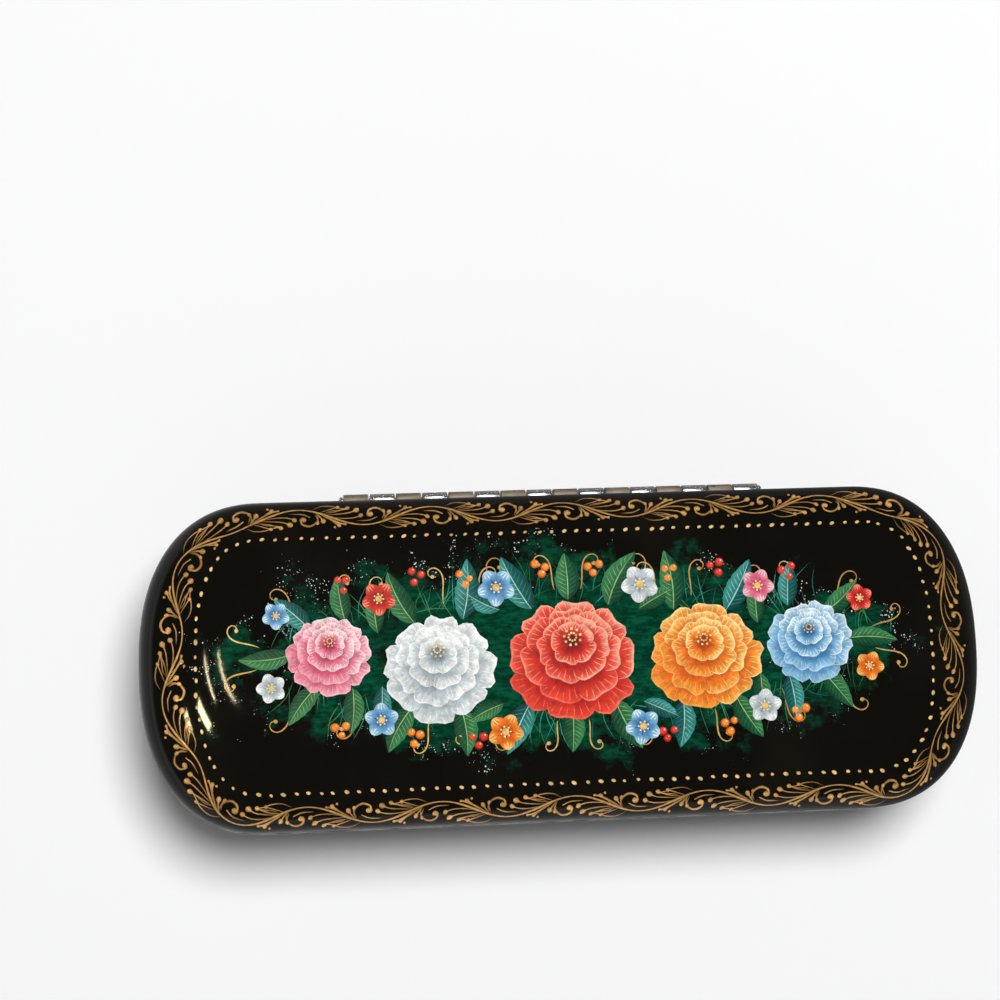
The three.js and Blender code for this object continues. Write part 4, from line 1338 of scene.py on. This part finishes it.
    def grass(self, brush, draw):
        """Clumps of thin blades above and below the flowers; a blade leans out and bends at its tip."""
        t = np.array([0.0, 0.5, 1.0])[:, None]
        for x, y in self.GRASS_CLUMPS:
            for hand in (1, -1):
                for _ in range(self.BLADES):
                    foot_x = x + draw.normal(0, 3.2)
                    foot_y = hand * (y - self.BLADE_FOOT + draw.normal(0, 1.0))
                    lean = math.radians(90 + draw.normal(0, 24))
                    tall = draw.uniform(4.5, 8.5) * MM
                    bend = draw.normal(0, 0.35)
                    up = towards(lean) * (1, hand)
                    path = np.array([foot_x, foot_y]) * MM + tall * (t * up + bend * t**2 * left_of(up))
                    palette = "green" if draw.uniform() < 0.6 else "teal"
                    half_width = draw.uniform(0.07, 0.13) * MM
                    brush.line(path, half_width, 0.0, shade(palette, draw.uniform(0.3, 0.8)), rings=6)

    def execute(self, context):
        form = Form(context.scene.case_shape, True)
        draw = np.random.default_rng(11)
        flowers, leaves, grass, tendrils = Brush(), Brush(), Brush(), Brush()
        self.grass(grass, draw)
        for index, (foot, turn, length, width) in enumerate(self.LEAVES):
            palette = "green" if index % 3 else "teal"
            foot = np.array(foot) * MM
            leaf(leaves, draw, foot, math.radians(turn), length * MM, width * MM, palette)
        for (x, y), radius, palette in self.LARGE:
            flower = Flower(flowers, draw, (x * MM, y * MM), radius * MM, palette)
            flower.heart(flower.rings(self.RINGS), self.HEART * radius * MM)
        for middle, radius, palette in self.SMALL:
            small_flower(flowers, draw, np.array(middle) * MM, radius * MM, palette)
        for side in (1, -1):
            for (x, y), turn, length, curl in self.TENDRILS:
                heading = math.radians(turn if side > 0 else 180 - turn)
                tint = shade("gold", draw.uniform(0.45, 0.85))
                foot = np.array([side * x, y]) * MM
                curl = side * math.radians(curl)
                tendrils.tendril(foot, heading, length * MM, curl, *self.TENDRIL, tint)
            for x, y in self.BERRIES:
                palette = "red" if x % 2 < 1 else "orange"
                for step in range(3):
                    around = 2.1 * step + draw.uniform(0, 1)
                    spot = np.array([side * x, y]) + self.CLUSTER * towards(around)
                    berry(flowers, spot * MM, draw.uniform(0.75, 0.95) * MM, palette)
        grass.piece("garland_grass", form, paint_finish("grass_paint", 0.0, 0.35))
        leaves.piece("garland_leaves", form, paint_finish("leaf_paint", 0.0, 0.3))
        tendrils.piece("garland_tendrils", form, paint_finish("tendril_gold", 0.35, 0.36))
        flowers.piece("garland_flowers", form, paint_finish("petal_paint", 0.0, 0.28))
        return {"FINISHED"}


class CASE_OT_stage(Operator):
    """Pale floor, soft studio light and the camera at the photograph's angle."""

    bl_idname = "case.stage"
    bl_label = "Stage"

    NEAR = (-0.7, -0.7, 0)  # direction of the bright side, where the camera stands
    FLOOR_HALF = 6.0  # metres
    FADE_END = 3  # the floor has faded out at this many times the distance where it starts to
    IMAGE_EDGE = 0.04  # half the width over which the floor's mirror image darkens, near side to far
    WALL_EDGE = 0.1  # half the range of sines over which the walls' upper edge fades
    WALL_SPAN = 0.8  # how far to either side the walls go on getting brighter
    SOFTBOX_AIM = (0, 0, 0.02)
    SENSOR = 36  # millimetres
    CLIP = (0.01, 20)  # nearest and farthest that the camera sees, in metres
    LAMP_HEIGHT = 1.02
    # Overhead lamps: place, size, turn in degrees, share of the lamps' power, and which tint
    LAMPS = {
        "strip_left": ((-0.240, 0.040), (0.094, 0.011), -50, 0.075, "strip_tint"),
        "strip_right": ((-0.145, 0.046), (0.080, 0.008), -47, 0.044, "strip_tint"),
        "panel_left": ((-0.545, -0.112), (0.088, 0.080), -67, 0.47, "panel_tint"),
        "panel_right": ((-0.324, -0.054), (0.097, 0.050), -46, 0.47, "panel_tint"),
    }
    HINGE_LAMP_PLACE, HINGE_LAMP_SIZE = (0.10, 1.10), (0.7, 1.2)
    HINGE_METAL = ("rolled_lid_leaf", "rolled_base_leaf", "peened_pin")

    def floor(self, stage):
        """A wide sheet of paper. Far from the case it fades into the backdrop for camera, transmission
        and glossy rays. Its mirror image is dimmed, most of all on the far side, so that the lacquer
        stays black."""
        half = self.FLOOR_HALF
        corners = np.array([[-half, -half, 0], [half, -half, 0], [half, half, 0], [-half, half, 0]])
        n = Nodes("floor")
        path = n.add("ShaderNodeLightPath").outputs
        paper = n.mix(n.noise(3, 2), stage.floor, darker(stage.floor, 0.985))
        near = n.measure("DOT_PRODUCT", n.place, self.NEAR)
        image = n.span(near, -self.IMAGE_EDGE, self.IMAGE_EDGE, stage.mirrored_far, stage.mirrored_floor)
        tint = n.mix(path["Is Glossy Ray"], paper, n.grey(image))
        n.surface({"Base Color": tint, "Roughness": 0.9, "Specular IOR Level": 0.1})
        far = n.measure("LENGTH", n.place)
        seen = n.maths("MAXIMUM", path["Is Camera Ray"], path["Is Transmission Ray"])
        seen = n.maths("MAXIMUM", seen, path["Is Glossy Ray"])
        faded = n.maths("MULTIPLY", n.span(far, stage.paper, self.FADE_END * stage.paper), seen)
        strength = n.span(path["Is Glossy Ray"], 0.0, 1.0, 1.0, image)
        backdrop = n.add("ShaderNodeEmission", {"Color": (*stage.backdrop, 1), "Strength": strength})
        surfaces = {0: faded, 1: n.shader.outputs["BSDF"], 2: backdrop.outputs["Emission"]}
        blend = n.add("ShaderNodeMixShader", surfaces)
        n.feed(n.tree.nodes["Material Output"].inputs["Surface"], blend.outputs["Shader"])
        piece("floor", corners, np.array([[0, 1, 2, 3]]), n.material, None)

    def hang(self, light, place, turn):
        """Puts a light in its place, turned by Euler angles."""
        made = bpy.data.objects.new(light.name, light)
        made.location = place
        made.rotation_euler = turn
        bpy.context.scene.collection.objects.link(made)
        return made

    def softbox(self, stage):
        """A large soft lamp overhead and behind, which gives the shadow in front. Its mirror image is
        kept out of the lacquer, as a flag in a studio does."""
        place = Vector(stage.softbox_place)
        light = bpy.data.lights.new("softbox", "AREA")
        light.shape, light.size, light.energy = "DISK", stage.softbox_size, stage.softbox
        turn = (place - Vector(self.SOFTBOX_AIM)).to_track_quat("Z", "Y").to_euler()
        self.hang(light, place, turn).visible_glossy = False

    def lamp(self, name, place, size, turn, power, tint):
        """A flat lamp that hangs overhead and faces down. It shows in gloss alone, as a far window does."""
        light = bpy.data.lights.new(name, "AREA")
        light.color = tint
        light.shape, light.size, light.size_y, light.energy = "RECTANGLE", *size, power
        made = self.hang(light, (*place, self.LAMP_HEIGHT), (0, 0, math.radians(turn)))
        made.visible_diffuse = False
        return made

    def lamps(self, stage):
        """The overhead lamps, whose images are the lacquer's glints, and one that lights only the
        hinge."""
        for name, (place, size, turn, share, tint) in self.LAMPS.items():
            self.lamp(name, place, size, turn, stage.lamps * share, getattr(stage, tint))
        place, size = self.HINGE_LAMP_PLACE, self.HINGE_LAMP_SIZE
        glint = self.lamp("hinge_lamp", place, size, 0, stage.hinge_lamp, (1, 1, 1))
        metal = bpy.data.collections.new("hinge_metal")
        for name in self.HINGE_METAL:
            metal.objects.link(bpy.data.objects[name])
        glint.light_linking.receiver_collection = metal

    def world(self, context, stage):
        """Soft walls, brightest behind the camera, that fade into a dim ceiling. Their mirror image is
        dimmed, and camera and transmission rays see the plain backdrop instead."""
        studio = bpy.data.worlds.new("studio")
        context.scene.world = studio
        studio.use_nodes = True
        n = Nodes("studio", studio.node_tree)
        path = n.add("ShaderNodeLightPath").outputs
        direction = n.add("ShaderNodeTexCoord").outputs["Generated"]
        side = n.measure("DOT_PRODUCT", direction, self.NEAR)
        level = n.add("ShaderNodeSeparateXYZ", {0: direction}).outputs["Z"]
        walls = n.span(side, -self.WALL_SPAN, self.WALL_SPAN, stage.far_wall, stage.near_wall)
        low, high = stage.wall_top - self.WALL_EDGE, stage.wall_top + self.WALL_EDGE
        light = n.span(level, low, high, walls, stage.ceiling)
        image = n.span(path["Is Glossy Ray"], 0.0, 1.0, 1.0, stage.mirrored_walls)
        light = n.grey(n.maths("MULTIPLY", light, image))
        seen = n.maths("MAXIMUM", path["Is Camera Ray"], path["Is Transmission Ray"])
        background = studio.node_tree.nodes["Background"]
        n.feed(background.inputs["Color"], n.mix(seen, light, stage.backdrop))

    def camera(self, context, stage):
        """The camera looks along the leaning direction, rolled, and stands off by shift and distance."""
        lean = np.array(stage.lean)
        back = np.array([*lean, math.sqrt(1 - lean @ lean)])
        right = np.array([1.0, 0, 0]) - back[0] * back
        right /= np.linalg.norm(right)
        up = np.cross(back, right)
        turn = math.cos(stage.roll), math.sin(stage.roll)
        right, up = turn[0] * right - turn[1] * up, turn[1] * right + turn[0] * up
        place = right * stage.shift[0] + up * stage.shift[1] + back * stage.distance
        seam = np.array([0, 0, context.scene.case_shape.seam])
        lens = bpy.data.cameras.new("camera")
        lens.sensor_width, lens.lens = self.SENSOR, stage.lens
        lens.clip_start, lens.clip_end = self.CLIP
        made = bpy.data.objects.new("camera", lens)
        matrix = np.eye(4)
        matrix[:3, :3] = np.stack([right, up, back], 1)
        matrix[:3, 3] = place + seam
        made.matrix_world = Matrix(matrix.tolist())
        context.scene.collection.objects.link(made)
        context.scene.camera = made

    def execute(self, context):
        stage = context.scene.case_stage
        self.floor(stage)
        self.softbox(stage)
        self.lamps(stage)
        self.world(context, stage)
        self.camera(context, stage)
        context.scene.view_settings.view_transform = "Standard"
        return {"FINISHED"}


class CASE_PT_panel(Panel):
    """Lists the operators that make the case."""

    bl_idname = "CASE_PT_panel"
    bl_label = "Eyeglass Case"
    bl_space_type = "VIEW_3D"
    bl_region_type = "UI"
    bl_category = "Case"

    def draw(self, context):
        for operator in OPERATORS:
            self.layout.operator(operator.bl_idname)


SETTINGS = {
    "case_shape": CaseShape,
    "case_hinge": HingeShape,
    "case_border": BorderPaint,
    "case_finish": CaseFinish,
    "case_stage": StageSettings,
}
OPERATORS = (
    CASE_OT_shells,
    CASE_OT_linings,
    CASE_OT_pads,
    CASE_OT_hinge,
    CASE_OT_cover,
    CASE_OT_scroll,
    CASE_OT_dots,
    CASE_OT_garland,
    CASE_OT_stage,
)
CLASSES = (*SETTINGS.values(), *OPERATORS, CASE_PT_panel)


def register():
    for made in CLASSES:
        bpy.utils.register_class(made)
    for name, group in SETTINGS.items():
        setattr(bpy.types.Scene, name, PointerProperty(type=group))


def unregister():
    for name in SETTINGS:
        delattr(bpy.types.Scene, name)
    for made in reversed(CLASSES):
        bpy.utils.unregister_class(made)


def main():
    register()
    bpy.ops.case.shells()
    bpy.ops.case.linings()
    bpy.ops.case.pads()
    bpy.ops.case.hinge()
    bpy.ops.case.cover()
    bpy.ops.case.scroll()
    bpy.ops.case.dots()
    bpy.ops.case.garland()
    bpy.ops.case.stage()


if __name__ == "__main__":
    main()
